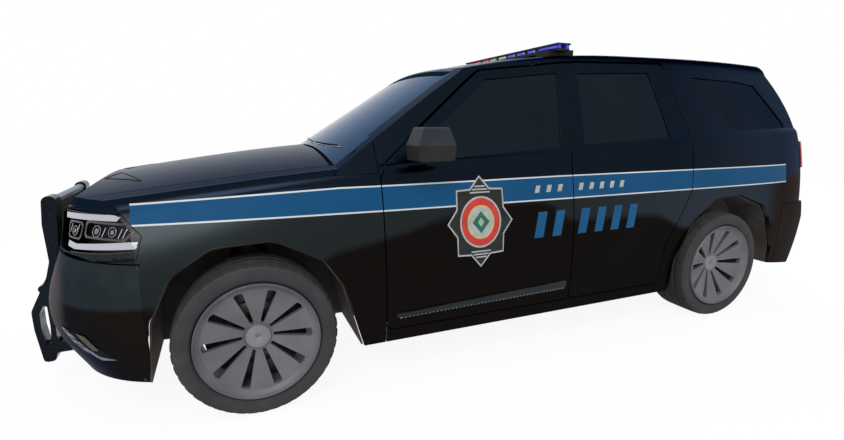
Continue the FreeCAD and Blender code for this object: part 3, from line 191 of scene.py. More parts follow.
def shown(tree, share, first, second):
    """Shows the first shader, and the second one by its share."""
    mix = added(tree, "MixShader", Fac=share)
    tree.links.new(first.outputs[0], mix.inputs[1])
    tree.links.new(second.outputs[0], mix.inputs[2])
    feed(tree, tree.nodes["Material Output"], Surface=mix.outputs["Shader"])


# ---------------------------------------------------------------- paints
NAVY = rgba(0.0062, 0.0102, 0.0172)
# Lighter navy of the rear quarters above the belt: a painted highlight.
REAR_NAVY_HIGHLIGHT = rgba(0.0155, 0.0215, 0.0315)
# Green-grey painted sheen on the side below the belt, and its lighter rear part.
SHEEN_GREEN_GREY = rgba(0.0170, 0.0212, 0.0228)
REAR_SHEEN = rgba(0.0270, 0.0350, 0.0440)
# Brown-black painted shade low on the side of the body.
PAINTED_SHADE_BROWN = rgba(0.0072, 0.0060, 0.0053)
TAIL_BROWN = rgba(0.0260, 0.0205, 0.0170)
COVER_BLACK = rgba(0.0105, 0.0086, 0.0074)
# Green-grey painted sheen on the bumper's upper cover, in clouds from dark to light.
COVER_SHEEN_DARK = rgba(0.0185, 0.0250, 0.0285)
COVER_SHEEN_LIGHT = rgba(0.0300, 0.0375, 0.0410)
COVER_NOSE_BROWN = rgba(0.100, 0.078, 0.064)
# How much of the light the lacquer throws back edge on: mostly, at the tail, on the roof.
PAINT_EDGE = rgba(0.48, 0.51, 0.58)
BROWN_EDGE = rgba(0.47, 0.462, 0.478)
ROOF_EDGE = rgba(0.22, 0.25, 0.31)
# Where the darker lower tone starts: on the body's side a brown-black painted shade below the line with
# the painted sheen above it, on the front bumper its black lower half: (x from the front axle, height).
LOW_TONE_LINE = [(1.0, 0.60), (0.40, 0.57), (-0.20, 0.66), (-0.45, 0.74), (-1.55, 0.91),
             (-1.80, 0.79), (-2.45, 0.77), (-2.75, 0.67), (-4.2, 0.62)]
LOW_TONE_SPAN = (-4.3, 1.1)


def height_above_low_tone(tree):
    """Height above the line of the darker lower tone, with a slow wander, and the place split into x, y
    and z.
    """
    place = added(tree, "TexCoord").outputs["Object"]
    split = added(tree, "SeparateXYZ", Vector=place)
    low, high = LOW_TONE_SPAN
    along = added(tree, "MapRange", From_Min=FRONT_AXLE_X + low, From_Max=FRONT_AXLE_X + high,
                  Value=split.outputs["X"])
    curve = added(tree, "FloatCurve", Value=along.outputs["Result"])
    points = curve.mapping.curves[0].points
    rows = sorted(((x - low) / (high - low), z) for x, z in LOW_TONE_LINE)
    while len(points) < len(rows):
        points.new(0.5, 0.5)
    for point, row in zip(points, rows):
        point.location = row
        point.handle_type = "AUTO"
    curve.mapping.update()
    wander = between(tree, noise(tree, 2.2, 3.0, (0.6, 1.0, 1.4)), -0.05, 0.05)
    height = calculated(tree, "ADD", split.outputs["Z"], wander)
    return calculated(tree, "SUBTRACT", height, curve.outputs["Value"]), split


def past(tree, split, axis, low, high):
    """0 at low, 1 at high, along x from the front axle or up z."""
    start = FRONT_AXLE_X if axis == "X" else 0.0
    return step(tree, split.outputs[axis], start + low, start + high)


def body_paint():
    """Near-black navy lacquer with painted light: a grey-green painted sheen below the belt, lighter navy
    as a painted highlight over the rear quarters, a brown-black painted shade at the sills, and browner at
    the tail.
    """
    material, tree, shader = new_material("navy_paint")
    height, split = height_above_low_tone(tree)
    # Painted sheen below the belt, lighter to the rear, over the painted shade below the low tone line.
    sheen = mixed(tree, past(tree, split, "X", -1.60, -3.00), SHEEN_GREEN_GREY, REAR_SHEEN)
    colour = mixed(tree, step(tree, height, -0.03, 0.03), PAINTED_SHADE_BROWN, sheen)
    tail = past(tree, split, "X", -3.50, -3.72)
    colour = mixed(tree, tail, colour, TAIL_BROWN)
    # Painted highlight: the navy above the belt lightens over the rear quarters.
    upper = mixed(tree, past(tree, split, "X", -2.60, -3.60), NAVY, REAR_NAVY_HIGHLIGHT)
    colour = mixed(tree, past(tree, split, "Z", 0.93, 1.0), colour, upper)
    low_tail = calculated(tree, "MULTIPLY", tail, past(tree, split, "Z", 0.98, 0.90))
    edge = mixed(tree, low_tail, PAINT_EDGE, BROWN_EDGE)
    edge = mixed(tree, past(tree, split, "Z", 1.68, 1.76), edge, ROOF_EDGE)
    feed(tree, shader, Base_Color=colour, Specular_Tint=edge, Metallic=1.0,
         Roughness=between(tree, noise(tree, 900.0, 1.0), 0.22, 0.30))
    bumped(tree, shader, noise(tree, 260.0, 2.0), 0.04, 0.0004)
    return material


def bumper_paint():
    """Painted upper cover with a green-grey painted sheen in clouds, brown-grey at the lower nose, over a
    black lower half.
    """
    material, tree, shader = new_material("bumper_paint")
    height, split = height_above_low_tone(tree)
    # Painted sheen: green-grey clouds on the upper cover, with the black lower half below the low tone
    # line.
    tone = ramp(tree, noise(tree, 5.0, 4.0), 0.3, COVER_SHEEN_DARK, 0.7, COVER_SHEEN_LIGHT)
    colour = mixed(tree, step(tree, height, -0.015, 0.015), COVER_BLACK, tone)
    nose = past(tree, split, "X", 0.765, 0.83)
    low = past(tree, split, "Z", 0.76, 0.64)
    foot = past(tree, split, "Z", 0.34, 0.60)
    nose_patch = calculated(tree, "MULTIPLY", calculated(tree, "MULTIPLY", nose, low), foot)
    feed(tree, shader, Base_Color=mixed(tree, nose_patch, colour, COVER_NOSE_BROWN), Metallic=1.0,
         Specular_Tint=PAINT_EDGE, Roughness=between(tree, noise(tree, 400.0, 2.0), 0.38, 0.5))
    bumped(tree, shader, noise(tree, 500.0, 2.0), 0.08, 0.0006)
    return material


# ---------------------------------------------------------------- other finishes
MATERIALS = {}
# Key, name, dark tone, light tone, scale of the clouds, roughness from and to, strength and
# scale of the bump, metallic, specular level.
FINISHES = [
    ("rear_cover", "rear_cover", (0.0190, 0.0150, 0.0128), (0.0340, 0.0275, 0.0232), 2.2,
     0.42, 0.6, 0.12, 700.0, 1.0, 0.5),
    ("black", "black_plastic", (0.006, 0.006, 0.0065), (0.012, 0.012, 0.0125), 6.0,
     0.42, 0.6, 0.2, 900.0, 0.0, 0.15),
    # Near-black painted shade for recesses and undersides: the grille's back, the intake's back, the
    # vents, under the hood and roof.
    ("deep", "deep_recess", (0.0022, 0.0021, 0.0020), (0.0042, 0.0040, 0.0038), 6.0,
     0.6, 0.8, 0.2, 500.0, 0.0, 0.08),
    ("liner", "liner_plastic", (0.046, 0.041, 0.037), (0.080, 0.072, 0.066), 7.0,
     0.7, 0.9, 0.4, 260.0, 0.0, 0.15),
    ("gloss_black", "gloss_black", (0.0060, 0.0082, 0.0125), (0.0100, 0.0135, 0.0195), 3.0,
     0.16, 0.26, 0.0, 0.0, 0.9, 0.30),
    # Pale blue painted highlight of the push bumper's top bar, worn by its sleeve.
    ("cross_bar", "cross_bar_steel", (0.10, 0.135, 0.175), (0.17, 0.21, 0.26), 9.0,
     0.28, 0.4, 0.05, 500.0, 0.2, 0.4),
    ("tyre", "tyre_rubber", (0.030, 0.031, 0.033), (0.044, 0.045, 0.047), 9.0,
     0.62, 0.8, 0.3, 500.0, 0.0, 0.15),
    ("tread", "tread_rubber", (0.020, 0.020, 0.021), (0.034, 0.033, 0.032), 14.0,
     0.75, 0.92, 0.4, 400.0, 0.0, 0.15),
    ("rim", "rim_alloy", (0.096, 0.099, 0.107), (0.146, 0.150, 0.161), 5.0,
     0.38, 0.52, 0.05, 600.0, 0.15, 0.22),
    ("cap", "hub_cap", (0.155, 0.155, 0.165), (0.22, 0.22, 0.23), 12.0,
     0.35, 0.5, 0.05, 600.0, 0.2, 0.25),
    ("disc", "brake_disc", (0.05, 0.049, 0.048), (0.10, 0.097, 0.094), 30.0,
     0.3, 0.5, 0.2, 500.0, 0.7, 0.5),
    ("frit", "glass_frit", (0.006, 0.007, 0.009), (0.010, 0.011, 0.013), 20.0,
     0.3, 0.4, 0.0, 0.0, 0.0, 0.2),
    ("steel", "chassis_steel", (0.022, 0.022, 0.022), (0.045, 0.042, 0.039), 5.0,
     0.5, 0.75, 0.25, 300.0, 0.3, 0.25),
    ("bare", "bare_steel", (0.16, 0.155, 0.15), (0.28, 0.27, 0.26), 8.0,
     0.35, 0.55, 0.15, 400.0, 0.8, 0.5),
    ("lamp", "lamp_housing", (0.0120, 0.0112, 0.0110), (0.0240, 0.0225, 0.0222), 30.0,
     0.18, 0.28, 0.05, 300.0, 1.0, 0.5),
    ("lamp_chrome", "lamp_chrome", (0.10, 0.10, 0.125), (0.26, 0.26, 0.32), 60.0,
     0.12, 0.25, 0.0, 0.0, 0.6, 0.5),
    ("lamp_grey", "lamp_grey", (0.028, 0.027, 0.029), (0.070, 0.067, 0.070), 60.0,
     0.2, 0.35, 0.0, 0.0, 0.0, 0.3),
    # Pale grey used only for the light bar's glints: a painted highlight.
    ("reflector", "reflector", (0.38, 0.40, 0.44), (0.55, 0.57, 0.62), 120.0,
     0.2, 0.35, 0.3, 300.0, 0.3, 0.5),
    ("mesh_metal", "mesh_metal", (0.060, 0.058, 0.056), (0.13, 0.125, 0.12), 60.0,
     0.35, 0.5, 0.0, 0.0, 0.4, 0.5),
    ("bright", "bright_trim", (0.30, 0.31, 0.33), (0.46, 0.47, 0.49), 20.0,
     0.25, 0.4, 0.0, 0.0, 0.3, 0.5),
    ("brown", "brown_trim", (0.060, 0.040, 0.028), (0.095, 0.066, 0.048), 30.0,
     0.4, 0.6, 0.0, 0.0, 0.0, 0.2),
    ("slat", "slat_silver", (0.030, 0.042, 0.070), (0.15, 0.19, 0.26), 26.0,
     0.25, 0.4, 0.1, 300.0, 0.3, 0.5),
    ("fabric", "seat_fabric", (0.018, 0.018, 0.020), (0.035, 0.035, 0.038), 30.0,
     0.8, 0.95, 0.5, 900.0, 0.0, 0.2),
    ("vinyl", "seat_vinyl", (0.010, 0.010, 0.011), (0.019, 0.019, 0.020), 12.0,
     0.45, 0.6, 0.35, 700.0, 0.0, 0.3),
    ("thread", "seam_thread", (0.05, 0.05, 0.052), (0.09, 0.09, 0.092), 200.0,
     0.7, 0.9, 0.4, 900.0, 0.0, 0.5),
    ("stripe", "stripe_film", (0.0050, 0.056, 0.142), (0.0095, 0.068, 0.162), 1.5,
     0.42, 0.55, 0.03, 500.0, 0.0, 0.05),
    ("pin", "pin_stripe", (0.46, 0.49, 0.52), (0.60, 0.62, 0.64), 2.0,
     0.4, 0.55, 0.0, 0.0, 0.0, 0.2),
    ("mark_white", "mark_white", (0.27, 0.29, 0.28), (0.38, 0.40, 0.39), 20.0,
     0.45, 0.6, 0.0, 0.0, 0.0, 0.2),
    ("mark_dark", "mark_dark", (0.012, 0.012, 0.013), (0.022, 0.022, 0.023), 20.0,
     0.45, 0.6, 0.0, 0.0, 0.0, 0.15),
    ("mark_red", "mark_red", (0.36, 0.030, 0.022), (0.48, 0.050, 0.036), 20.0,
     0.45, 0.6, 0.0, 0.0, 0.0, 0.2),
    ("mark_green", "mark_green", (0.008, 0.095, 0.050), (0.018, 0.14, 0.075), 20.0,
     0.45, 0.6, 0.0, 0.0, 0.0, 0.2),
    ("mark_gold", "mark_gold", (0.42, 0.30, 0.10), (0.55, 0.42, 0.16), 20.0,
     0.4, 0.55, 0.0, 0.0, 0.0, 0.2),
    ("mark_blue", "mark_blue", (0.008, 0.070, 0.17), (0.014, 0.085, 0.20), 6.0,
     0.42, 0.55, 0.0, 0.0, 0.0, 0.06),
    ("mirror_top", "mirror_top", (0.017, 0.021, 0.028), (0.026, 0.031, 0.039), 9.0,
     0.35, 0.5, 0.05, 400.0, 0.0, 0.10),
    ("mirror_low", "mirror_low", (0.016, 0.0150, 0.0145), (0.025, 0.0235, 0.0225), 9.0,
     0.4, 0.55, 0.05, 400.0, 0.0, 0.08),
    ("mirror_glass", "mirror_glass", (0.55, 0.58, 0.6), (0.7, 0.72, 0.74), 2.0,
     0.02, 0.05, 0.0, 0.0, 1.0, 0.5),
    ("moulding_top", "moulding_top", (0.0120, 0.0150, 0.0150), (0.022, 0.026, 0.025), 12.0,
     0.4, 0.55, 0.1, 400.0, 0.0, 0.1),
    ("moulding_low", "moulding_low", (0.008, 0.014, 0.028), (0.016, 0.026, 0.046), 12.0,
     0.35, 0.5, 0.05, 400.0, 0.0, 0.1),
    ("rubber", "seal_rubber", (0.0035, 0.0035, 0.0038), (0.0070, 0.0070, 0.0072), 40.0,
     0.6, 0.8, 0.2, 600.0, 0.0, 0.12),
    ("plate", "blank_plate", (0.46, 0.47, 0.48), (0.56, 0.57, 0.58), 8.0,
     0.35, 0.5, 0.05, 300.0, 0.0, 0.3),
    ("carpet", "carpet", (0.010, 0.010, 0.011), (0.022, 0.022, 0.023), 160.0,
     0.9, 1.0, 0.8, 1400.0, 0.0, 0.05),
]
STRETCHED = {"slat": (0.4, 0.4, 6.0), "moulding_top": (0.3, 1.0, 3.0)}
TINTED_EDGE = {"rear_cover": BROWN_EDGE, "lamp": rgba(0.16, 0.15, 0.15)}
# Key, name, colour, glow, strength of the glow, scale and direction of the ribs.
LENSES = [
    ("lamp_bar", "lamp_bar", (0.37, 0.375, 0.43), (0.68, 0.68, 0.80), 0.08, 90.0, "Y"),
    ("tail", "tail_lens", (0.30, 0.030, 0.032), (0.8, 0.10, 0.10), 0.05, 120.0, "Z"),
    ("tail_clear", "tail_clear", (0.50, 0.42, 0.42), (0.8, 0.7, 0.7), 0.03, 120.0, "Z"),
    ("blue", "blue_lens", (0.010, 0.014, 0.45), (0.015, 0.022, 0.85), 0.55, 40.0, "Z"),
    ("red", "red_lens", (0.55, 0.010, 0.012), (0.85, 0.02, 0.02), 0.50, 40.0, "Z"),
    ("white_lens", "white_lens", (0.62, 0.60, 0.58), (0.9, 0.88, 0.86), 0.12, 40.0, "Z"),
    ("tan_lens", "tan_lens", (0.56, 0.50, 0.42), (0.8, 0.7, 0.5), 0.10, 40.0, "Z"),
]
LENS_ROUGHNESS = 0.12
# Key, name, tint, share that shows what is behind, tint edge on, roughness.
GLASSES = [
    ("glass", "tinted_glass", rgba(0.0110, 0.0150, 0.0215), 0.07, PAINT_EDGE, 0.05),
    ("shield", "windshield_glass", rgba(0.022, 0.034, 0.056), 0.06, rgba(0.50, 0.60, 0.78), 0.06),
]


def varied(key, name, dark, light, scale, smooth, rough, bump, grain, metallic, specular):
    """General finish: two tones and two roughnesses mixed by noise, with fine bump."""
    material, tree, shader = new_material(name)
    stretch = STRETCHED.get(key)
    cloud = noise(tree, scale, 5.0, stretch)
    feed(tree, shader, Base_Color=ramp(tree, cloud, 0.3, rgba(*dark), 0.7, rgba(*light)),
         Roughness=between(tree, cloud, smooth, rough), Metallic=metallic,
         Specular_IOR_Level=specular)
    if key in TINTED_EDGE:
        feed(tree, shader, Specular_Tint=TINTED_EDGE[key])
    if bump:
        bumped(tree, shader, noise(tree, grain, 3.0, stretch), bump, 0.001)
    return material


def tinted_glass(name, tint, see_through, edge, roughness):
    """Dark glazing: mostly its own tint, with a share that shows what is behind."""
    material, tree, shader = new_material(name)
    haze = noise(tree, 3.0, 3.0)
    feed(tree, shader, Base_Color=ramp(tree, haze, 0.3, tint, 0.8, scaled(tint, 1.2)),
         Roughness=between(tree, haze, roughness, roughness * 2.0), Metallic=1.0,
         Specular_Tint=edge)
    shown(tree, see_through, shader, added(tree, "BsdfTransparent"))
    return material


def lens(name, colour, glow, strength, rib_scale, direction):
    """Moulded lamp lens with fine ribs."""
    material, tree, shader = new_material(name)
    place = added(tree, "TexCoord").outputs["Object"]
    wave = added(tree, "TexWave", Scale=rib_scale, Vector=place)
    wave.bands_direction = direction
    ribs = wave.outputs["Fac"]
    colour = rgba(*colour)
    feed(tree, shader, Base_Color=ramp(tree, ribs, 0.2, scaled(colour, 0.7), 0.8, colour),
         Roughness=between(tree, noise(tree, 40.0), LENS_ROUGHNESS * 0.8, LENS_ROUGHNESS * 1.3),
         Emission_Color=rgba(*glow), Emission_Strength=strength, Coat_Weight=0.3)
    bumped(tree, shader, ribs, 0.15, 0.001)
    return material


def make_materials():
    MATERIALS["paint"] = body_paint()
    MATERIALS["bumper"] = bumper_paint()
    for row in FINISHES:
        MATERIALS[row[0]] = varied(*row)
    for makes, table in ((tinted_glass, GLASSES), (lens, LENSES)):
        for key, *row in table:
            MATERIALS[key] = makes(*row)


# ---------------------------------------------------------------- finishes of the CAD nodes
NODE_FINISHES = {
    "paint": ["hood", "front_fenders", "roof_panel", "side_frame_left", "side_frame_right",
              "tailgate", "front_door_left", "front_door_right", "rear_door_left",
              "rear_door_right"],
    "bumper": ["front_bumper"],
    "rear_cover": ["rear_bumper"],
    "black": ["cowl_panel", "light_bar", "dashboard", "steering_wheel", "seat_frames"],
    # The grille's back behind its mesh, in painted shade.
    "deep": ["grille"],
    "liner": ["wheelhouse_liners"],
    "gloss_black": ["push_bumper"],
    "mirror_top": ["mirror_left", "mirror_right"],
    "rim": ["rim_front_left", "rim_front_right", "rim_rear_left", "rim_rear_right"],
    "glass": ["front_door_glass_left", "front_door_glass_right", "rear_door_glass_left",
              "rear_door_glass_right", "quarter_windows", "tailgate_glass"],
    "shield": ["windshield"],
    "steel": ["underbody", "front_suspension", "rear_suspension", "firewall", "engine_block"],
    "bare": ["exhaust"],
    "disc": ["knuckle_left", "knuckle_right"],
    "lamp": ["headlamps"],
    "tail": ["tail_lamps"],
    "blue": ["light_bar_blue"],
    "red": ["light_bar_red"],
    "tyre": ["tyre_front_left", "tyre_front_right", "tyre_rear_left", "tyre_rear_right"],
    "fabric": ["front_seat_cushions", "front_seat_backs", "rear_seat_cushion",
               "rear_seat_back"],
}
# A second finish for the faces of a node that pass a test of normal and centre.
SECOND_FINISHES = [
    (["front_door_left", "rear_door_left", "side_frame_left"], "vinyl",
     lambda n, c: n.y < -0.4 or (abs(n.x) > 0.7 and c.z > 0.4 and c.y < 0.86)),
    (["front_door_right", "rear_door_right", "side_frame_right"], "vinyl",
     lambda n, c: n.y > 0.4 or (abs(n.x) > 0.7 and c.z > 0.4 and c.y > -0.86)),
    (["tailgate"], "vinyl", lambda n, c: n.x > 0.3),
    # Undersides of the hood and roof in painted shade.
    (["hood", "roof_panel"], "deep", lambda n, c: n.z < -0.3),
    (["rear_suspension"], "disc", lambda n, c: abs(c.y) > 0.855 and abs(n.y) > 0.9),
    (["underbody"], "carpet", lambda n, c: n.z > 0.9 and c.x < FRONT_AXLE_X - 0.56),
]


def finish_frame():
    for finish, names in NODE_FINISHES.items():
        for name in names:
            mesh = NODES[name].data
            mesh.materials.clear()
            mesh.materials.append(MATERIALS[finish])
    for names, finish, chosen in SECOND_FINISHES:
        for name in names:
            mesh = NODES[name].data
            mesh.materials.append(MATERIALS[finish])
            index = len(mesh.materials) - 1
            for face in mesh.polygons:
                if chosen(face.normal, face.center):
                    face.material_index = index


# ---------------------------------------------------------------- mesh helpers
def at(x, y, z):
    """A point with x counted from the front axle."""
    return Vector((FRONT_AXLE_X + x, y, z))


def beside(side, x0=0.0, z0=0.0):
    """(a, b) as a point off the car's flank, a along x and b up."""
    return lambda a, b: at(x0 + a, side * 0.95, z0 + b)


def behind(a, b):
    """(a, b) as a point behind the car, a across and b up."""
    return at(-4.30, a, b)


def spread(one, two, count):
    """Points from one to two in count equal parts."""
    return [[a + (b - a) * (i / count) for a, b in zip(one, two)] for i in range(count + 1)]


def keep(bm, name, finishes, body, smooth=False):
    """Turns a bmesh into a piece that rides on a body."""
    bmesh.ops.recalc_face_normals(bm, faces=bm.faces)
    mesh = bpy.data.meshes.new(name)
    bm.to_mesh(mesh)
    bm.free()
    for finish in finishes.split():
        mesh.materials.append(MATERIALS[finish])
    if smooth:
        mesh.polygons.foreach_set("use_smooth", [True] * len(mesh.polygons))
    piece = new_object(name, mesh)
    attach(piece, body)
    return piece


def bevelled(piece, width, segments=2, angle=30.0):
    modifier = piece.modifiers.new("edges", "BEVEL")
    modifier.width = width
    modifier.segments = segments
    modifier.limit_method = "ANGLE"
    modifier.angle_limit = math.radians(angle)
    return piece


def skin(bm, rows, closed=True, finish_of=None):
    """Quads between neighbouring rows of vertices, each row a ring or an open line."""
    for row, (one, two) in enumerate(zip(rows, rows[1:])):
        for k in range(len(one) if closed else len(one) - 1):
            after = (k + 1) % len(one)
            face = bm.faces.new((one[k], two[k], two[after], one[after]))
            if finish_of:
                face.material_index = finish_of(row, k)


def add_block(bm, low, high, material=0):
    """Box from its low to its high corner."""
    low, high = Vector(low), Vector(high)
    size = high - low
    matrix = (Matrix.Translation((low + high) / 2.0)
              @ Matrix.Diagonal((abs(size.x), abs(size.y), abs(size.z), 1.0)))
    made = bmesh.ops.create_cube(bm, size=1.0, matrix=matrix)
    for face in {f for v in made["verts"] for f in v.link_faces}:
        face.material_index = material


def blocks(name, finish, body, corners, bevel, segments=2):
    """Piece of bevelled boxes, each with its low and high corner for at()."""
    bm = bmesh.new()
    for low, high in corners:
        add_block(bm, at(*low), at(*high))
    bevelled(keep(bm, name, finish, body), bevel, segments)


def add_stud(bm, place, turn, segments, foot, top, depth):
    """Low round or six-sided stud, its axis along z before the turn."""
    bmesh.ops.create_cone(bm, cap_ends=True, segments=segments, radius1=foot, radius2=top,
                          depth=depth, matrix=Matrix.Translation(place) @ turn)


def lathe(name, profile, centre, out, finish, body, steps, finish_of=None):
    """Closed ring from (radius, along) points about the line across the car through centre,
    along counted towards out, +1 or -1."""
    bm = bmesh.new()
    rings = []
    for i in range(steps):
        turn = 2.0 * math.pi * i / steps
        rings.append([bm.verts.new((centre[0] + r * math.cos(turn), centre[1] + out * a,
                                    centre[2] + r * math.sin(turn))) for r, a in profile(i)])
    skin(bm, rings + rings[:1], True, finish_of)
    return keep(bm, name, finish, body, True)


def wires(name, lines, radius, finish, body, cyclic=False, resolution=2):
    """Round wire along each line of points."""
    curve = bpy.data.curves.new(name, "CURVE")
    curve.dimensions = "3D"
    curve.bevel_depth = radius
    curve.bevel_resolution = resolution
    for line in lines:
        spline = curve.splines.new("POLY")
        spline.points.add(len(line) - 1)
        for point, place in zip(spline.points, line):
            point.co = (*place, 1.0)
        spline.use_cyclic_u = cyclic
    curve.materials.append(MATERIALS[finish])
    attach(new_object(name, curve), body)


def tree_of(mesh):
    """Ray-casting tree of a mesh."""
    return BVHTree.FromPolygons([v.co for v in mesh.vertices],
                                [p.vertices[:] for p in mesh.polygons])


SURFACES = {}
RAY_START = 0.4                # how far outside a surface a ray starts


def surface(node):
    """Ray-casting tree of a CAD node, made once."""
    if node not in SURFACES:
        SURFACES[node] = tree_of(NODES[node].data)
    return SURFACES[node]


def on_surface(node, point, inward, lift):
    """The point moved along inward onto the node, then lifted off it; None where it misses."""
    inward = Vector(inward).normalized()
    hit = surface(node).ray_cast(point - inward * RAY_START, inward)[0]
    return None if hit is None else hit - inward * lift


def laid(node, points, inward, lift):
    """The points laid on the node, without those that miss it."""
    spots = [on_surface(node, point, inward, lift) for point in points]
    return [spot for spot in spots if spot is not None]


def sliced(part, spot, normal, clear=False):
    """Cuts a bmesh along a plane, and drops what lies beyond it if clear."""
    bmesh.ops.bisect_plane(part, geom=part.verts[:] + part.edges[:] + part.faces[:],
                           plane_co=spot, plane_no=normal, clear_outer=clear)


def decal(name, node, body, place, inward, layers, cell):
    """Thin markings laid on a node. Layers are (finish, outline, lift); place turns an
    outline's (a, b) into a point near the surface; cell is the grid it is cut into."""
    bm = bmesh.new()
    finishes = []
    for finish, outline, lift in layers:
        if finish not in finishes:
            finishes.append(finish)
        part = bmesh.new()
        part.faces.new([part.verts.new((a, b, 0.0)) for a, b in outline])
        bmesh.ops.triangulate(part, faces=part.faces[:])
        for axis, normal in enumerate(((1, 0, 0), (0, 1, 0))):
            values = [v.co[axis] for v in part.verts]
            cut = math.floor(min(values) / cell) * cell + cell
            while cut < max(values):
                sliced(part, [cut * n for n in normal], normal)
                cut += cell
        part.verts.index_update()
        moved = {}
        for vertex in part.verts:
            spot = on_surface(node, place(vertex.co.x, vertex.co.y), inward, lift)
            if spot is not None:
                moved[vertex.index] = bm.verts.new(spot)
        for face in part.faces:
            if all(v.index in moved for v in face.verts):
                made = bm.faces.new([moved[v.index] for v in face.verts])
                made.material_index = finishes.index(finish)
        part.free()
    keep(bm, name, " ".join(finishes), body, True)


# ---------------------------------------------------------------- stripes
STRIPE_TOP = [(0.474, 1.0035), (-0.425, 1.0375), (-1.704, 1.040), (-3.795, 1.029)]
STRIPE_LOW = [(0.474, 0.9265), (-0.425, 0.9250), (-1.704, 0.918), (-3.795, 0.912)]
PIN_WIDTH = 0.0075
PIN_TOP = [(x, z + PIN_WIDTH) for x, z in STRIPE_TOP]
PIN_LOW = [(x, z - PIN_WIDTH) for x, z in STRIPE_LOW]
# Start of the piece's name, lower line, upper line, finish, lift.
BANDS = [("stripe_", STRIPE_LOW, STRIPE_TOP, "stripe", 0.0008),
         ("pin_top_", STRIPE_TOP, PIN_TOP, "pin", 0.0009),
         ("pin_low_", PIN_LOW, STRIPE_LOW, "pin", 0.0009)]
# Label, node and body, each with the side's name put in.
STRIPED = [("front_fenders", "front_fenders", "body"), ("front_door", "front_door_%s", "front_door_%s"),
           ("rear_door", "rear_door_%s", "rear_door_%s"), ("side_frame", "side_frame_%s", "body")]
SAME_SPOT = 1e-5
# Faces under the stripes: heights of their centres, least y, least share that faces outwards.
FILM_HEIGHTS = (0.85, 1.12)
FILM_LEAST_Y = 0.75
FILM_LEAST_NORMAL = 0.25
LOOK_FROM = 0.5                # how far outside a face the test for hidden faces starts


def with_side(text, word):
    return text.replace("%s", word)


def outer_faces(node, word, side):
    """Corners of the node's faces that show from that side of the closed car."""
    mesh = NODES[node].data
    panels = [with_side(row[1], word) for row in STRIPED]
    found = []
    for face in mesh.polygons:
        faces_out = face.normal.y * side >= FILM_LEAST_NORMAL
        beside_car = face.center.y * side >= FILM_LEAST_Y
        if not (faces_out and beside_car and FILM_HEIGHTS[0] < face.center.z < FILM_HEIGHTS[1]):
            continue
        start = face.center + Vector((0, side * LOOK_FROM, 0))
        hits = [surface(panel).ray_cast(start, Vector((0, -side, 0))) for panel in panels]
        nearest = min([hit[3] for hit in hits if hit[0] is not None], default=math.inf)
        if nearest > LOOK_FROM - 0.002:
            found.append([mesh.vertices[i].co.copy() for i in face.vertices])
    return found


def band(name, body, side, low, high, finish, lift, faces):
    """Film over the faces, between two lines of (x, z) rows."""
    bm = bmesh.new()
    for (xa, la), (xb, lb), (_, ha), (_, hb) in zip(low, low[1:], high, high[1:]):
        part = bmesh.new()
        for corners in faces:
            xs = [c.x - FRONT_AXLE_X for c in corners]
            if max(xs) > xb and min(xs) < xa:
                part.faces.new([part.verts.new(c) for c in corners])
        if not part.faces:
            part.free()
            continue
        bmesh.ops.remove_doubles(part, verts=part.verts[:], dist=SAME_SPOT)
        slope_high = Vector(((hb - ha) / (xa - xb), 0, 1))
        slope_low = Vector(((lb - la) / (xa - xb), 0, 1))
        for spot, normal in ((at(xa, 0, 0), Vector((1, 0, 0))), (at(xb, 0, 0), Vector((-1, 0, 0))),
                             (at(xa, 0, ha), slope_high), (at(xa, 0, la), -slope_low)):
            sliced(part, spot, normal, True)
        part.verts.index_update()
        part.normal_update()
        moved = {}
        for vertex in part.verts:
            out = lift if vertex.normal.y * side > 0 else -lift
            moved[vertex.index] = bm.verts.new(vertex.co + vertex.normal * out)
        for face in part.faces:
            bm.faces.new([moved[v.index] for v in face.verts])
        part.free()
    if not bm.faces:
        bm.free()
        return
    bmesh.ops.remove_doubles(bm, verts=bm.verts[:], dist=SAME_SPOT)
    mesh = keep(bm, name, finish, body, True).data
    if sum(p.normal.y * p.area for p in mesh.polygons) * side < 0:
        mesh.flip_normals()


def stripes():
    for word, side in SIDES:
        for label, node, body in STRIPED:
            faces = outer_faces(with_side(node, word), word, side)
            for kind, low, high, finish, lift in BANDS:
                band(kind + label + "_" + word, with_side(body, word), side, low, high, finish,
                     lift, faces)


# ---------------------------------------------------------------- door markings
EMBLEM_X, EMBLEM_Z = -1.175, 0.822
EMBLEM_SLIM = 0.20 / 0.25      # width over height
# Finish, radius and lift of the round fields inside the star.
EMBLEM_FIELDS = [("mark_white", 0.140, 0.0020), ("mark_red", 0.130, 0.0024),
                 ("mark_gold", 0.092, 0.0028), ("mark_white", 0.084, 0.0032)]
BAR_PITCH, CHECK_PITCH = 0.125, 0.078
MARK_CELL = 0.025


def star(outer, inner):
    """Outline of an eight-point star that stands on a point."""
    found = []
    for i in range(16):
        r = inner if i % 2 else outer
        angle = math.radians(90.0 + 22.5 * i)
        found.append((r * math.cos(angle) * EMBLEM_SLIM, r * math.sin(angle)))
    return found


def round_outline(radius, wide=1.0, steps=32):
    turns = [2 * math.pi * i / steps for i in range(steps)]
    return [(radius * wide * math.cos(turn), radius * math.sin(turn)) for turn in turns]


def diamond(wide, high):
    return [(-wide, 0.0), (0.0, -high), (wide, 0.0), (0.0, high)]


def slanted(x, z0, z1, width, lean):
    """Outline of a bar that leans backwards as it rises."""
    return [(x, z0), (x - width, z0), (x - width - lean, z1), (x - lean, z1)]


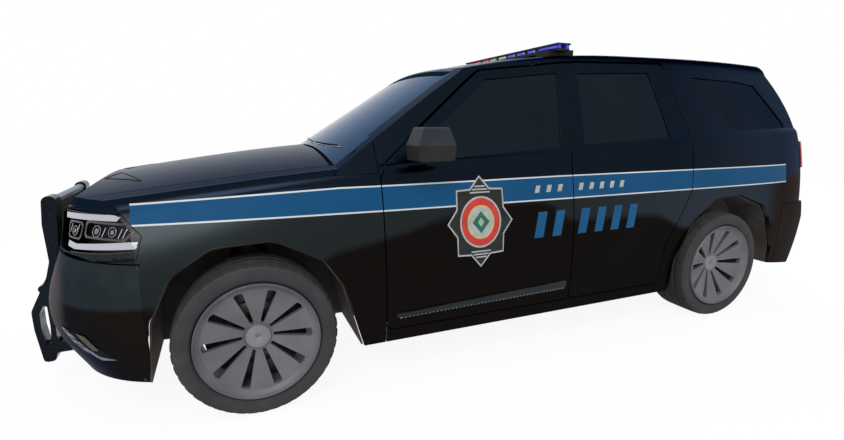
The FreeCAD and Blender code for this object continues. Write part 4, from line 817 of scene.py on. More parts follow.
def door_markings():
    """A plain eight-point star, slanted bars and small checks in the livery's colours."""
    layers = [("mark_white", star(0.250, 0.196), 0.0012), ("mark_dark", star(0.238, 0.186), 0.0016)]
    layers += [(finish, round_outline(radius, 0.9), lift) for finish, radius, lift in EMBLEM_FIELDS]
    layers += [("mark_green", diamond(0.052, 0.060), 0.0036),
               ("mark_white", diamond(0.020, 0.024), 0.0040)]
    for sign in (1.0, -1.0):
        for i in range(3):
            near, half = 0.156 + 0.016 * i, 0.060 - 0.014 * i
            far = near + 0.008
            layers.append(("mark_white", [(-half, sign * near), (half, sign * near),
                                          (half, sign * far), (-half, sign * far)], 0.0020))
    for word, side in SIDES:
        inward = (0, -side, 0)
        door = "front_door_" + word
        decal("emblem_" + word, door, door, beside(side, EMBLEM_X, EMBLEM_Z), inward, layers,
              MARK_CELL)
        for start, first, count in (("front_door_", -1.520, 2), ("rear_door_", -1.828, 4)):
            marks = [("mark_blue", slanted(first - BAR_PITCH * i, 0.700, 0.848, 0.062, 0.030), 0.0012)
                     for i in range(count)]
            marks += [("mark_white",
                       slanted(first - 0.006 - CHECK_PITCH * i, 0.958, 0.998, 0.030, 0.012), 0.0018)
                      for i in range(count + 1)]
            door = start + word
            decal("side_bars_" + door, door, door, beside(side), inward, marks, MARK_CELL)


MOULDING_START, MOULDING_LENGTH = -0.690, 1.080
# Lift off the door, share of the height and finish of the moulding's lines.
MOULDING_ROWS = [(0.0008, 1.0, 0), (0.0120, 0.94, 0), (0.0150, 0.80, 0), (0.0140, 0.40, 1),
                 (0.0100, 0.06, 1), (0.0008, 0.0, 1)]
MOULDING_STEPS = 36
MOULDING_DOTS = 46


def mouldings():
    """Long moulding low on each front door: grey top, blue face and a bright lower edge."""
    for word, side in SIDES:
        node = "front_door_" + word
        place = beside(side)
        inward = (0, -side, 0)
        body = bmesh.new()
        grid = []
        for i in range(MOULDING_STEPS + 1):
            t = i / MOULDING_STEPS
            low, high = 0.350 + 0.018 * t, 0.374 + 0.042 * t
            if t > 0.985:
                low, high = low + 0.004, high - 0.004
            ends = i in (0, MOULDING_STEPS)
            x = MOULDING_START - MOULDING_LENGTH * t
            grid.append([body.verts.new(on_surface(node, place(x, low + (high - low) * share), inward,
                                                   MOULDING_ROWS[0][0] if ends else lift))
                         for lift, share, _ in MOULDING_ROWS])
        skin(body, grid, False, lambda row, k: MOULDING_ROWS[k][2])
        keep(body, "moulding_" + word, "moulding_top moulding_low", node, True)
        dots = bmesh.new()
        half = Vector((0.006, 0.002, 0.002))
        for i in range(MOULDING_DOTS):
            t = (i + 0.5) / MOULDING_DOTS
            spot = on_surface(node, place(-0.700 - 1.060 * t, 0.3485 + 0.018 * t), inward, 0.0012)
            add_block(dots, spot - half, spot + half)
        keep(dots, "moulding_edge_" + word, "bright", node)


# ---------------------------------------------------------------- head and tail lamps
# (x, y) of the left headlamp: the way into it, its middle and the way along it.
LAMP_INWARD = (-0.72, -0.69)
LAMP_CENTRE = (0.62, 0.74)
LAMP_ALONG = (-0.69, 0.72)
# Middle, height, radius of the ring and radius of the lens of each round lamp.
ROUND_LAMPS = [(0.015, 0.893, 0.024, 0.013), (0.105, 0.896, 0.020, 0.010), (-0.140, 0.882, 0.020, 0.009)]
LAMP_EDGE = [(-0.245, 0.962), (0.100, 0.966), (0.262, 0.882), (0.225, 0.822), (0.100, 0.807),
             (-0.170, 0.790)]


def lamp_place(side):
    """(a, b): a along the lamp from its middle, outwards and back, and b the height."""
    return lambda a, b: at(LAMP_CENTRE[0] + LAMP_ALONG[0] * a,
                           side * (LAMP_CENTRE[1] + LAMP_ALONG[1] * a), b)


def cluster(a0, a1, z0, z1, slant):
    """Outline with cut corners, leaning by slant."""
    cut = 0.012
    return [(a0, z0 + cut), (a0 + cut, z0), (a1 - cut - slant, z0), (a1 - slant, z0 + cut),
            (a1, z1 - cut), (a1 - cut, z1), (a0 + cut, z1), (a0, z1 - cut)]


LAMP_LAYERS = [
    ("lamp_bar", [(-0.235, 0.930), (0.120, 0.941), (0.135, 0.962), (0.090, 0.966),
                  (-0.235, 0.955)], 0.004),
    ("lamp_bar", [(-0.185, 0.812), (-0.120, 0.806), (0.225, 0.832), (0.236, 0.858),
                  (0.200, 0.860), (-0.110, 0.830), (-0.185, 0.836)], 0.004),
    ("bumper", [(-0.330, 0.750), (0.290, 0.750), (0.290, 0.823), (0.225, 0.820), (0.100, 0.805),
                (-0.170, 0.788), (-0.330, 0.786)], 0.0012),
    ("lamp_grey", cluster(-0.205, -0.083, 0.846, 0.924, 0.006), 0.002),
    ("lamp", cluster(-0.196, -0.092, 0.854, 0.916, 0.006), 0.003),
    ("lamp_grey", cluster(-0.066, 0.212, 0.860, 0.934, 0.024), 0.002),
    ("lamp", cluster(-0.055, 0.201, 0.869, 0.925, 0.024), 0.003),
]


def headlamps():
    for word, side in SIDES:
        inward = (LAMP_INWARD[0], side * LAMP_INWARD[1], 0.0)
        place = lamp_place(side)
        decal("headlamp_bars_" + word, "headlamps", "body", place, inward, LAMP_LAYERS, 0.015)
        rings = [laid("headlamps", [place(a + x, b + z) for x, z in round_outline(ring, 1.0, 28)],
                      inward, 0.004) for a, b, ring, _ in ROUND_LAMPS]
        wires("headlamp_rings_" + word, rings, 0.0022, "lamp_chrome", "body", True)
        layers = [("lamp_chrome", [(a + x, b + y) for x, y in round_outline(r, 1.0, 20)], 0.0045)
                  for a, b, _, r in ROUND_LAMPS]
        layers += [("lamp_bar", [(a - 0.012, 0.872), (a - 0.008, 0.872), (a + 0.006, 0.912),
                                 (a + 0.002, 0.912)], 0.0046)
                   for a in (-0.172, -0.112, 0.062, 0.150, 0.172)]
        decal("headlamp_lenses_" + word, "headlamps", "body", place, inward, layers, 0.02)
        edge = [place(a, b) for one, two in zip(LAMP_EDGE, LAMP_EDGE[1:])
                for a, b in spread(one, two, 14)[:-1]]
        wires("headlamp_edge_" + word, [laid("headlamps", edge, inward, 0.0015)], 0.0016,
              "lamp_grey", "body")


def tail_lamps():
    low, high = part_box("tail_lamps")
    for word, side in SIDES:
        ribs = []
        for i in range(5):
            z = low.z + 0.035 + i * (high.z - low.z - 0.07) / 4
            points = [Vector((low.x - 0.1, side * (0.715 + 0.130 * k / 15), z)) for k in range(16)]
            line = laid("tail_lamps", points, (1, 0, 0), 0.0008)
            if len(line) > 2:
                ribs.append(line)
        wires("tail_lamp_ribs_" + word, ribs, 0.0016, "tail_clear", "body")


# ---------------------------------------------------------------- front end
GRILLE_HALF = 0.470
MESH_PITCH = 0.028
INTAKE_FOOT, INTAKE_PITCH = 0.338, 0.029
INTAKE_COLUMNS = range(-8, 9)


def grille():
    """Mesh in the opening behind the push bumper, with its bright edge."""
    low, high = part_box("grille")
    inward = (-1, 0, 0)
    lines = []
    for slope in (1.0, -1.0):
        for i in range(-34, 35):
            points = []
            for k in range(17):
                z = low.z + 0.010 + (high.z - low.z - 0.020) * k / 16
                y = i * MESH_PITCH + slope * (z - (low.z + high.z) / 2) * 0.9
                if abs(y) <= 0.478:
                    points.append(Vector((high.x, y, z)))
            line = laid("grille", points, inward, 0.002)
            if len(line) > 1:
                lines.append(line)
    wires("grille_mesh", lines, 0.0022, "mesh_metal", "body", False, 1)
    foot, top, half = low.z + 0.012, high.z - 0.014, GRILLE_HALF
    edges = [((-half, z), (half, z), 40) for z in (foot, top)]
    edges += [((y, foot), (y, top), 12) for y in (-0.480, 0.480)]
    bars = [laid("grille", [Vector((high.x, y, z)) for y, z in spread(*edge)], inward, 0.004)
            for edge in edges]
    wires("grille_edge", bars, 0.0055, "bright", "body")
    inner = [[p + Vector((0.002, math.copysign(0.012, -p.y), 0)) for p in bar] for bar in bars[2:]]
    wires("grille_inner_edge", inner, 0.004, "brown", "body")


def bowed(i):
    """How far the lower opening falls back at a column."""
    return 0.03 * (abs(i) / 8) ** 2


def intake():
    """Mesh and dark back of the lower opening, the back's near-black a painted shade."""
    lines = []
    for i in range(-15, 16):
        y = i * 0.028
        lines.append([at(0.866, y, 0.334), at(0.878, y, 0.430), at(0.882, y, 0.516)])
    for k in range(7):
        lines.append([at(0.868 + 0.016 * k / 6 - bowed(i), i * 0.0535,
                         INTAKE_FOOT + INTAKE_PITCH * k) for i in INTAKE_COLUMNS])
    wires("intake_mesh", lines, 0.0020, "mesh_metal", "body", False, 1)
    bm = bmesh.new()
    rows = []
    for i in INTAKE_COLUMNS:
        x = 0.842 - bowed(i)
        rows.append((bm.verts.new(at(x - 0.01, i * 0.054, 0.322)),
                     bm.verts.new(at(x, i * 0.054, 0.528))))
    skin(bm, rows, False)
    keep(bm, "intake_back", "deep", "body", True)


# The first layer is painted shade in the vent behind its slats.
VENT_LAYERS = [
    ("deep", [(-0.075, 0.480), (0.050, 0.455), (0.185, 0.335), (0.105, 0.326), (-0.010, 0.400)],
     0.0012),
    ("slat", [(-0.070, 0.476), (-0.020, 0.466), (0.060, 0.385), (0.105, 0.350), (0.180, 0.338),
              (0.105, 0.330), (-0.006, 0.402)], 0.0030),
]
VENT_NET_FIELD = ("liner", [(0.028, 0.462), (0.075, 0.450), (0.118, 0.385), (0.088, 0.380)], 0.0036)


def vent_slat(a, b):
    return ("moulding_low",
            [(a, b), (a + 0.052, b - 0.016), (a + 0.050, b - 0.022), (a, b - 0.007)], 0.0040)


def vent_place(side):
    """(a, b): a across the bumper's corner, outwards and back, and b the height."""
    return lambda a, b: at(0.735 - 0.60 * a, side * (0.770 + 0.80 * a), b)


def corner_vents():
    """Slatted corner vents of the bumper, each with a small net beside it."""
    slats = [vent_slat(-0.045 + 0.020 * i, 0.468 - 0.030 * i) for i in range(4)]
    layers = VENT_LAYERS + slats + [VENT_NET_FIELD]
    for word, side in SIDES:
        inward = (-0.80, -0.60 * side, 0.0)
        place = vent_place(side)
        decal("bumper_vent_" + word, "front_bumper", "body", place, inward, layers, 0.015)
        net = []
        for k in range(5):
            for ends in (((0.034 + 0.010 * k, 0.461 - 0.003 * k), (0.090 + 0.006 * k, 0.381 + 0.001 * k)),
                         ((0.032 + 0.014 * k, 0.458 - 0.017 * k), (0.072 + 0.010 * k, 0.447 - 0.016 * k))):
                spots = laid("front_bumper", [place(a, b) for a, b in ends], inward, 0.0048)
                if len(spots) == 2:
                    net.append(spots)
        wires("bumper_vent_mesh_" + word, net, 0.0012, "mesh_metal", "body", False, 1)


# ---------------------------------------------------------------- push bumper
SLEEVE_X, SLEEVE_Z, SLEEVE_RADIUS = 0.893, 0.968, 0.0205
SLEEVE_STEPS = 48
SCREEN_X, SCREEN_HALF = 0.893, 0.245
SCREEN_LOW, SCREEN_HIGH = 0.705, 0.950
BOLTS = [(0.893, 0.905), (0.903, 0.780), (0.984, 0.225)]


def push_bumper():
    """Rounded edges, a sleeve on the cross bar in a pale blue painted highlight, mesh screen and bolts."""
    bevelled(NODES["push_bumper"], 0.016, 4, 40.0)
    # Sleeve round the top cross bar, coloured as a pale blue painted highlight.
    bm = bmesh.new()
    columns = []
    for i in range(SLEEVE_STEPS):
        turn = 2 * math.pi * i / SLEEVE_STEPS
        columns.append([bm.verts.new(at(SLEEVE_X + SLEEVE_RADIUS * math.cos(turn), y,
                                        SLEEVE_Z + SLEEVE_RADIUS * math.sin(turn)))
                        for y in (-0.252, -0.246, 0.246, 0.252)])
    skin(bm, columns + columns[:1], False)
    keep(bm, "push_cross_bar_sleeve", "cross_bar", "body", True)
    screen = []
    for i in range(18):
        z = SCREEN_LOW + 0.245 * i / 17
        screen.append([at(SCREEN_X, -SCREEN_HALF, z), at(SCREEN_X, SCREEN_HALF, z)])
    for i in range(32):
        y = -0.240 + 0.480 * i / 31
        screen.append([at(SCREEN_X, y, SCREEN_LOW), at(SCREEN_X, y, SCREEN_HIGH)])
    wires("push_bumper_mesh", screen, 0.0042, "mesh_metal", "body", resolution=1)
    bolts = bmesh.new()
    across = Matrix.Rotation(math.pi / 2, 4, "X")
    for _, side in SIDES:
        for x, z in BOLTS:
            add_stud(bolts, at(x, side * 0.3305, z), across, 6, 0.008, 0.007, 0.003)
    keep(bolts, "push_bumper_bolts", "black", "body")


# ---------------------------------------------------------------- hood and windshield
VENT_CORNERS = [(0.660, 0.262), (0.462, 0.500), (0.610, 0.118)]


def hood_details():
    """Thin seams round the two three-cornered vents."""
    seams = []
    for _, side in SIDES:
        for one, two in zip(VENT_CORNERS, VENT_CORNERS[1:] + VENT_CORNERS[:1]):
            points = [at(x, side * y, 1.1) for x, y in spread(one, two, 12)]
            seams.append(laid("hood", points, (0, 0, -1), 0.0005))
    wires("hood_vent_seams", seams, 0.0022, "rubber", "hood")


def along_foot(y0, y1, count, ahead):
    """Points on the glass from y0 to y1, along the curved foot of the windshield."""
    points = []
    for i in range(count + 1):
        y = y0 + (y1 - y0) * i / count
        points.append(at(ahead - 0.085 * (abs(y) / 0.70) ** 2, y, 1.25))
    return laid("windshield", points, Vector((-0.5, 0, -0.85)), 0.003)


def windshield_details():
    """Broken bright line along the windshield's foot, wiper blades, the inside mirror and a
    tinted header over the glass."""
    trim = along_foot(-0.70, 0.70, 30, -0.436)
    wires("windshield_foot_trim", [trim[k:k + 4] for k in range(0, len(trim), 6)], 0.0018,
          "bright", "body")
    for index, (y0, y1) in enumerate(((0.480, 0.020), (-0.060, -0.520))):
        wires("wiper_blade_%d" % (index + 1), [along_foot(y0, y1, 20, -0.452)], 0.0025,
              "rubber", "body")
    blocks("inside_mirror", "black", "body", [((-1.185, -0.110, 1.505), (-1.160, 0.110, 1.565))],
           0.012, 3)
    decal("windshield_header", "roof_panel", "body", lambda a, b: at(b, a, 1.80), (0, 0, -1),
          [("shield", [(-0.535, -1.178), (0.535, -1.178), (0.545, -1.275), (-0.545, -1.275)],
            0.0010)], 0.03)
    wires("inside_mirror_stem", [[at(-1.162, 0, 1.548), at(-1.120, 0, 1.600)]], 0.006, "black",
          "body")


# ---------------------------------------------------------------- light bar
# One side, the other side and finish of each module.
BAR_MODULES = [
    (0.404, 0.598, "blue"), (0.280, 0.366, "blue"), (0.152, 0.246, "blue"), (0.034, 0.126, "blue"),
    (-0.092, 0.010, "white_lens"), (-0.222, -0.126, "tan_lens"), (-0.334, -0.240, "red"),
    (-0.464, -0.372, "red"), (-0.598, -0.504, "red"),
]
BAR_END = 0.604
MODULE_PROUD = 0.0024          # how far they stand out of the CAD lenses
FRAME_PROUD = 0.0028


def light_bar():
    """Lens modules front and back with dark frames between them, and white painted glints."""
    low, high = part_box("light_bar_blue")
    z0, z1 = low.z, high.z
    front, back = high.x, low.x
    for finish in ("blue", "red", "white_lens", "tan_lens"):
        bm = bmesh.new()
        for y0, y1, kind in BAR_MODULES:
            if kind == finish:
                for x0, x1 in ((front, front + MODULE_PROUD), (back - MODULE_PROUD, back)):
                    add_block(bm, (x0, y0, z0 + 0.003), (x1, y1, z1 - 0.0028))
        bevelled(keep(bm, "light_modules_" + finish, finish, "body"), 0.0010)
    frames = bmesh.new()
    glints = bmesh.new()
    faces = ((front, front + FRAME_PROUD), (back - FRAME_PROUD, back))
    edges = sorted([-BAR_END, BAR_END] + [y for row in BAR_MODULES for y in row[:2]])
    for y0, y1 in zip(edges[::2], edges[1::2]):
        for x0, x1 in faces:
            add_block(frames, (x0, y0, z0), (x1, y1, z1))
    for y0, y1, kind in BAR_MODULES:
        # Painted glints: pale strips near one end of each narrow front lens.
        if y1 - y0 < 0.15 and kind != "white_lens":
            add_block(glints, (front + 0.0018, y1 - 0.014, z0 + 0.004),
                      (front + 0.0030, y1 - 0.003, z1 - 0.004))
        for z in (z0, z1 - 0.0028):
            for x0, x1 in faces:
                add_block(frames, (x0, y0, z), (x1, y1, z + 0.003))
    keep(frames, "light_bar_frames", "black", "body")
    keep(glints, "light_bar_glints", "reflector", "body")
    bevelled(NODES["light_bar"], 0.004, 3)


# ---------------------------------------------------------------- mirrors
# Height, then x at the front and the rear, then y at the inner and the outer side.
MIRROR_RINGS = [
    (1.1665, -0.770, -0.945, 0.928, 1.058),
    (1.1720, -0.756, -0.954, 0.926, 1.066),
    (1.2430, -0.750, -0.9585, 0.926, 1.0695),
    (1.2470, -0.7515, -0.9575, 0.926, 1.0680),
    (1.3240, -0.786, -0.937, 0.930, 1.040),
    (1.3290, -0.793, -0.930, 0.936, 1.033),
]
LOW_RINGS = 2                  # rings of faces in the lower tone
MIRROR_GLASS = [(-0.9582, 0.940, 1.190), (-0.9582, 1.056, 1.190), (-0.9582, 1.060, 1.238),
                (-0.9385, 1.030, 1.314), (-0.9385, 0.944, 1.314), (-0.9582, 0.938, 1.238)]


def mirrors():
    """Angular two-tone housings with the glass set into the rear face."""
    for word, side in SIDES:
        body = "front_door_" + word
        bm = bmesh.new()
        rings = []
        for z, front, rear, near, far in MIRROR_RINGS:
            corners = ((front, near), (front - 0.012, far), (rear, far), (rear, near))
            rings.append([bm.verts.new(at(x, side * y, z)) for x, y in corners])
        skin(bm, rings, True, lambda row, k: 1 if row < LOW_RINGS else 0)
        bm.faces.new(rings[0]).material_index = 1
        bm.faces.new(rings[-1])
        add_block(bm, at(-0.900, side * 0.868, 1.177), at(-0.802, side * 0.930, 1.213), 1)
        housing = keep(bm, "mirror_housing_" + word, "mirror_top mirror_low", body)
        bevelled(housing, 0.0035, 2, 40.0)
        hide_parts("mirror_" + word)
        glass = bmesh.new()
        points = [glass.verts.new(at(x - 0.0008, side * y, z)) for x, y, z in MIRROR_GLASS]
        glass.faces.new([points[k] for k in (0, 1, 2, 5)])
        glass.faces.new([points[k] for k in (5, 2, 3, 4)])
        keep(glass, "mirror_glass_" + word, "mirror_glass", body)


# ---------------------------------------------------------------- wheels
TREAD_STEPS = 168
TREAD_POINTS = range(12, 37)   # of the section, in the tread's finish
# (radius, along the axle) points of the sections.
HUB_CAP = [(0.0004, 0.0755), (0.030, 0.0765), (0.050, 0.0750), (0.056, 0.0735), (0.058, 0.0700),
           (0.058, 0.0640), (0.0004, 0.0640)]
BRAKE_DISC = [(0.075, -0.004), (0.160, -0.004), (0.162, 0.000), (0.162, 0.008), (0.160, 0.012),
              (0.075, 0.012)]


def tyre_profile(i):
    """Section i of the tyre: bead, sidewall with its rings, shoulder and grooved tread."""
    sipe = 0.0055 if i % 4 == 0 else 0.0
    half = [(0.2815, 0.118), (0.285, 0.132), (0.296, 0.1405), (0.302, 0.1415), (0.304, 0.1425),
            (0.308, 0.1425), (0.310, 0.1435), (0.326, 0.1445), (0.338, 0.1438), (0.344, 0.1420),
            (0.346, 0.1425), (0.350, 0.1410), (0.358 - sipe * 0.3, 0.1330),
            (0.3635 - sipe, 0.1220), (0.3675 - sipe, 0.1080), (0.3685 - sipe, 0.092),
            (0.3688 - sipe, 0.084), (0.3615, 0.081), (0.3615, 0.073), (0.3692, 0.070),
            (0.3695 - sipe * 0.6, 0.050), (0.3696, 0.034), (0.3615, 0.031), (0.3615, 0.023),
            (0.3697, 0.020)]
    return half + [(r, -a) for r, a in reversed(half)]


def wheels():
    """Tyres with tread, hub caps and brake discs, and softened edges on the rims."""
    for axle, x in (("front", FRONT_AXLE_X), ("rear", REAR_AXLE_X)):
        for word, side in SIDES:
            label = axle + "_" + word
            body = "wheel_" + label
            centre = (x, side * WHEEL_Y, AXLE_Z)
            tyre = lathe("tyre_tread_" + label, tyre_profile, centre, side, "tyre tread", body,
                         TREAD_STEPS, lambda row, k: 1 if k in TREAD_POINTS else 0)
            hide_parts("tyre_" + label)
            bevelled(NODES["rim_" + label], 0.0022, 2, 25.0)
            lathe("hub_cap_" + label, lambda i: HUB_CAP, centre, side, "cap", body, 48)
            lathe("brake_disc_" + label, lambda i: BRAKE_DISC, centre, side, "disc", body, 64)


# ---------------------------------------------------------------- rear end
PLATE_SCREW_Y = 0.0889


def panel(half_low, half_high, z0, z1):
    """Outline across the middle of the tailgate."""
    return [(-half_low, z0), (half_low, z0), (half_high, z1), (-half_high, z1)]


def rear_end():
    """Blank number plate in its pocket, trim above it, wiper and reflectors."""
    inward = (1, 0, 0)
    decal("plate_pocket", "tailgate", "tailgate", behind, inward,
          [("black", panel(0.185, 0.185, 0.930, 1.060), 0.0010)], 0.04)
    x = on_surface("tailgate", behind(0.0, 0.99), inward, 0.0).x - 0.0035
    bm = bmesh.new()
    add_block(bm, (x - 0.0022, -0.152, 0.945), (x, 0.152, 1.050))
    bevelled(keep(bm, "number_plate", "plate", "tailgate"), 0.001)
    screws = bmesh.new()
    back = Matrix.Rotation(-math.pi / 2, 4, "Y")
    for y in (-PLATE_SCREW_Y, PLATE_SCREW_Y):
        add_stud(screws, (x - 0.003, y, 1.010), back, 16, 0.006, 0.0045, 0.003)
    keep(screws, "plate_fixings", "bare", "tailgate")
    decal("tailgate_trim", "tailgate", "tailgate", behind, inward,
          [("gloss_black", panel(0.42, 0.40, 1.088, 1.128), 0.0030)], 0.04)
    points = [behind(a, b) for a, b in spread((0.02, 1.345), (0.35, 1.395), 12)]
    wires("rear_wiper", [laid("tailgate_glass", points, inward, 0.008)], 0.005, "rubber",
          "tailgate")
    for word, side in SIDES:
        near, far = side * 0.560, side * 0.700
        decal("rear_reflector_" + word, "rear_bumper", "body", behind, inward,
              [("tail", [(near, 0.560), (far, 0.560), (far, 0.585), (near, 0.585)], 0.002)], 0.03)


# ---------------------------------------------------------------- behind the gaps
# Corners of the front wheel arch: x, z and the radius of the rounding.
FRONT_ARCH = [(0.480, 0.230, 0.0), (0.441, 0.500, 0.110), (0.345, 0.700, 0.110), (0.170, 0.812, 0.130),
              (-0.100, 0.822, 0.130), (-0.330, 0.700, 0.110), (-0.420, 0.560, 0.090), (-0.512, 0.230, 0.0)]
ARCH_MIDDLE = Vector((0.0, 0.40))
ARCH_WALL_Y = 0.897
# Name, node, finish, x of the ray, x and z from and to, depth inside the surface.
GAP_STRIPS = [
    ("door_gap_backing_", "front_fenders", "rubber", -0.590, -0.660, -0.592, 0.300, 1.085, 0.068),
    ("bumper_seam_", "front_bumper", "bumper", 0.4525, 0.4440, 0.4530, 0.470, 0.762, 0.0012),
]


def rounded_line(corners, grow, arc=8):
    """Open line through (x, z, radius) corners with tangent arcs, grown from ARCH_MIDDLE."""
    points = []
    for i, (x, z, radius) in enumerate(corners):
        here = Vector((x, z))
        if radius == 0.0:
            points.append(here)
            continue
        one = (Vector(corners[i - 1][:2]) - here).normalized()
        two = (Vector(corners[i + 1][:2]) - here).normalized()
        half = one.angle(two) / 2.0
        reach = radius / math.tan(half)
        centre = here + (one + two).normalized() * radius / math.sin(half)
        first, last = here + one * reach - centre, here + two * reach - centre
        points += [centre + first.lerp(last, k / arc).normalized() * radius for k in range(arc + 1)]
    return [p + (p - ARCH_MIDDLE).normalized() * grow for p in points]


def arch_flange(word, side):
    """Flange from the edge of the arch in to the liner."""
    bm = bmesh.new()
    inner, outer = rounded_line(FRONT_ARCH, 0.0008), rounded_line(FRONT_ARCH, 0.0090)
    rows = []
    for a, b in zip(inner, outer):
        ahead = (b - ARCH_MIDDLE).normalized() * 0.010
        place = at(b.x + ahead.x, side * 0.98, b.y + ahead.y)
        spots = [on_surface(node, place, (0, -side, 0), -0.016)
                 for node in ("front_fenders", "front_bumper")]
        spot = spots[0] or spots[1]
        reach = abs(spot.y) if spot is not None else 0.900
        rows.append([bm.verts.new(at(p.x, side * y, p.y)) for p, y in
                     ((a, ARCH_WALL_Y), (a, reach), (b, reach), (b, ARCH_WALL_Y))])
    skin(bm, rows)
    keep(bm, "front_arch_flange_" + word, "liner", "body", True)


def backing():
    """Dark strips that close the gaps around the front fenders from inside."""
    for word, side in SIDES:
        arch_flange(word, side)
        for label, node, finish, x, x0, x1, z0, z1, depth in GAP_STRIPS:
            bm = bmesh.new()
            rows = []
            for k in range(15):
                z = z0 + (z1 - z0) * k / 14
                spot = on_surface(node, at(x, side * 0.98, z), (0, -side, 0), -depth)
                if spot is not None:
                    rows.append([bm.verts.new(at(px, spot.y + side * dy, z)) for px, dy in
                                 ((x0, 0.0), (x1, 0.0), (x1, -0.004), (x0, -0.004))])
            skin(bm, rows)
            keep(bm, label + word, finish, "body", True)


# ---------------------------------------------------------------- seats
VOXEL = 0.010
FRAMES = 20
PRESSURE = 4.0
SWELL = 0.016                  # how far the padding may swell
PAD_INSET = 0.013              # how much smaller it starts
ROUNDNESS = 5.0
BACK_LEAN = math.radians(20.0)
BACK_FOOT_Z = 0.590
SEAM_INSET = 0.035
CHANNEL_WIDTH = 0.0065
BACK_BLOCK = (0.060, 0.235)    # half depth and half height
HEAD_BLOCK = (0.045, 0.135, 0.080)
NECK_BLOCK = (0.028, 0.090, 0.050)
# Row, half width, middles, cushion node, back node, y of the channels, y of the head rests.
SEATS = [
    ("front", 0.255, (0.39, -0.39), "front_seat_cushions", "front_seat_backs", 0.62 * 0.255, (0.0,)),
    ("rear", 0.560, (0.0,), "rear_seat_cushion", "rear_seat_back", 0.187, (0.30, -0.30)),
]


def evaluated_mesh(piece):
    graph = bpy.context.evaluated_depsgraph_get()
    return bpy.data.meshes.new_from_object(piece.evaluated_get(graph))


def rounded_block(centre, half):
    """Mesh of a divided block with full, rounded edges, a little smaller than its half sizes."""
    block = bmesh.new()
    bmesh.ops.create_cube(block, size=2.0)
    bmesh.ops.subdivide_edges(block, edges=block.edges[:], cuts=11, use_grid_fill=True)
    for v in block.verts:
        length = sum(abs(c) ** ROUNDNESS for c in v.co) ** (1.0 / ROUNDNESS)
        v.co = Vector([c / length * (h - PAD_INSET) for c, h in zip(v.co, half)])
    bmesh.ops.translate(block, verts=block.verts[:], vec=Vector(centre))
    mesh = bpy.data.meshes.new("part")
    block.to_mesh(mesh)
    block.free()
    return mesh


def swell(work, start):
    """Blows the mesh up as cloth under pressure, each point by SWELL at most."""
    cloth = work.modifiers.new("cloth", "CLOTH")
    cloth.settings.use_pressure = True
    cloth.settings.uniform_pressure_force = PRESSURE
    cloth.settings.effector_weights.gravity = 0.0
    rest = [v.co.copy() for v in start.vertices]
    scene = bpy.context.scene
    for frame_number in range(1, FRAMES + 1):
        scene.frame_set(frame_number)
    moved = [v.co.copy() for v in evaluated_mesh(work).vertices]
    work.modifiers.clear()
    scene.frame_set(1)
    for vertex, old, new in zip(start.vertices, rest, moved):
        shift = new - old
        if shift.length > SWELL:
            shift = shift.normalized() * SWELL
        vertex.co = old + shift


def pad_mesh(name, parts, channels):
    """Padded form from (centre, half size) blocks: joined, remeshed, swollen as cloth under
    pressure and quilted on top along channels, each (axis, place, depth)."""
    bm = bmesh.new()
    for centre, half in parts:
        mesh = rounded_block(centre, half)
        bm.from_mesh(mesh)
        bpy.data.meshes.remove(mesh)
    mesh = bpy.data.meshes.new(name)
    bm.to_mesh(mesh)
    bm.free()
    work = new_object(name, mesh)
    remesh = work.modifiers.new("remesh", "REMESH")
    remesh.mode = "VOXEL"
    remesh.voxel_size = VOXEL
    start = evaluated_mesh(work)
    work.modifiers.clear()
    work.data = start
    swell(work, start)
    limits = [(min(c[i] - h[i] for c, h in parts), max(c[i] + h[i] for c, h in parts))
              for i in range(3)]
    top = 0.35 * max(abs(limits[2][0]), abs(limits[2][1]))
    for vertex in start.vertices:
        for axis, place, depth in channels:
            reach = vertex.co[axis] - place
            if vertex.co.z > top and abs(reach) < 0.02:
                vertex.co.z -= depth * math.exp(-(reach / CHANNEL_WIDTH) ** 2)
        for i, (low, high) in enumerate(limits):
            vertex.co[i] = min(max(vertex.co[i], low), high)
    start.polygons.foreach_set("use_smooth", [True] * len(start.polygons))
    bpy.data.objects.remove(work)
    return start


def place_pad(name, mesh, matrix, node):
    piece = new_object(name, mesh.copy())
    piece.data.transform(matrix)
    if matrix.determinant() < 0:
        piece.data.flip_normals()
    piece.data.materials.clear()
    piece.data.materials.append(MATERIALS["fabric"])
    fine = piece.modifiers.new("finer", "SUBSURF")
    fine.levels = fine.render_levels = 1
    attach(piece, "body")
    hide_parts(node)
    return piece


def seam_on(name, piece, lines, inward):
    """Sewn piping laid on a pad along lines of points near it."""
    tree = tree_of(piece.data)
    found = []
    for line in lines:
        hits = [tree.ray_cast(point - inward * 0.2, inward)[0] for point in line]
        points = [hit + inward * 0.0004 for hit in hits if hit is not None]
        if len(points) > 2:
            found.append(points)
    wires(name, found, 0.0018, "thread", "body")


def rectangle(half_a, half_b):
    """Points around a rectangle with its corners taken off."""
    cut = 0.035
    corners = [(-half_a + cut, -half_b), (half_a - cut, -half_b), (half_a, -half_b + cut),
               (half_a, half_b - cut), (half_a - cut, half_b), (-half_a + cut, half_b),
               (-half_a, half_b - cut), (-half_a, -half_b + cut), (-half_a + cut, -half_b)]
    points = []
    for one, two in zip(corners, corners[1:]):
        points += spread(one, two, 24)[:-1]
    return points + [corners[0]]


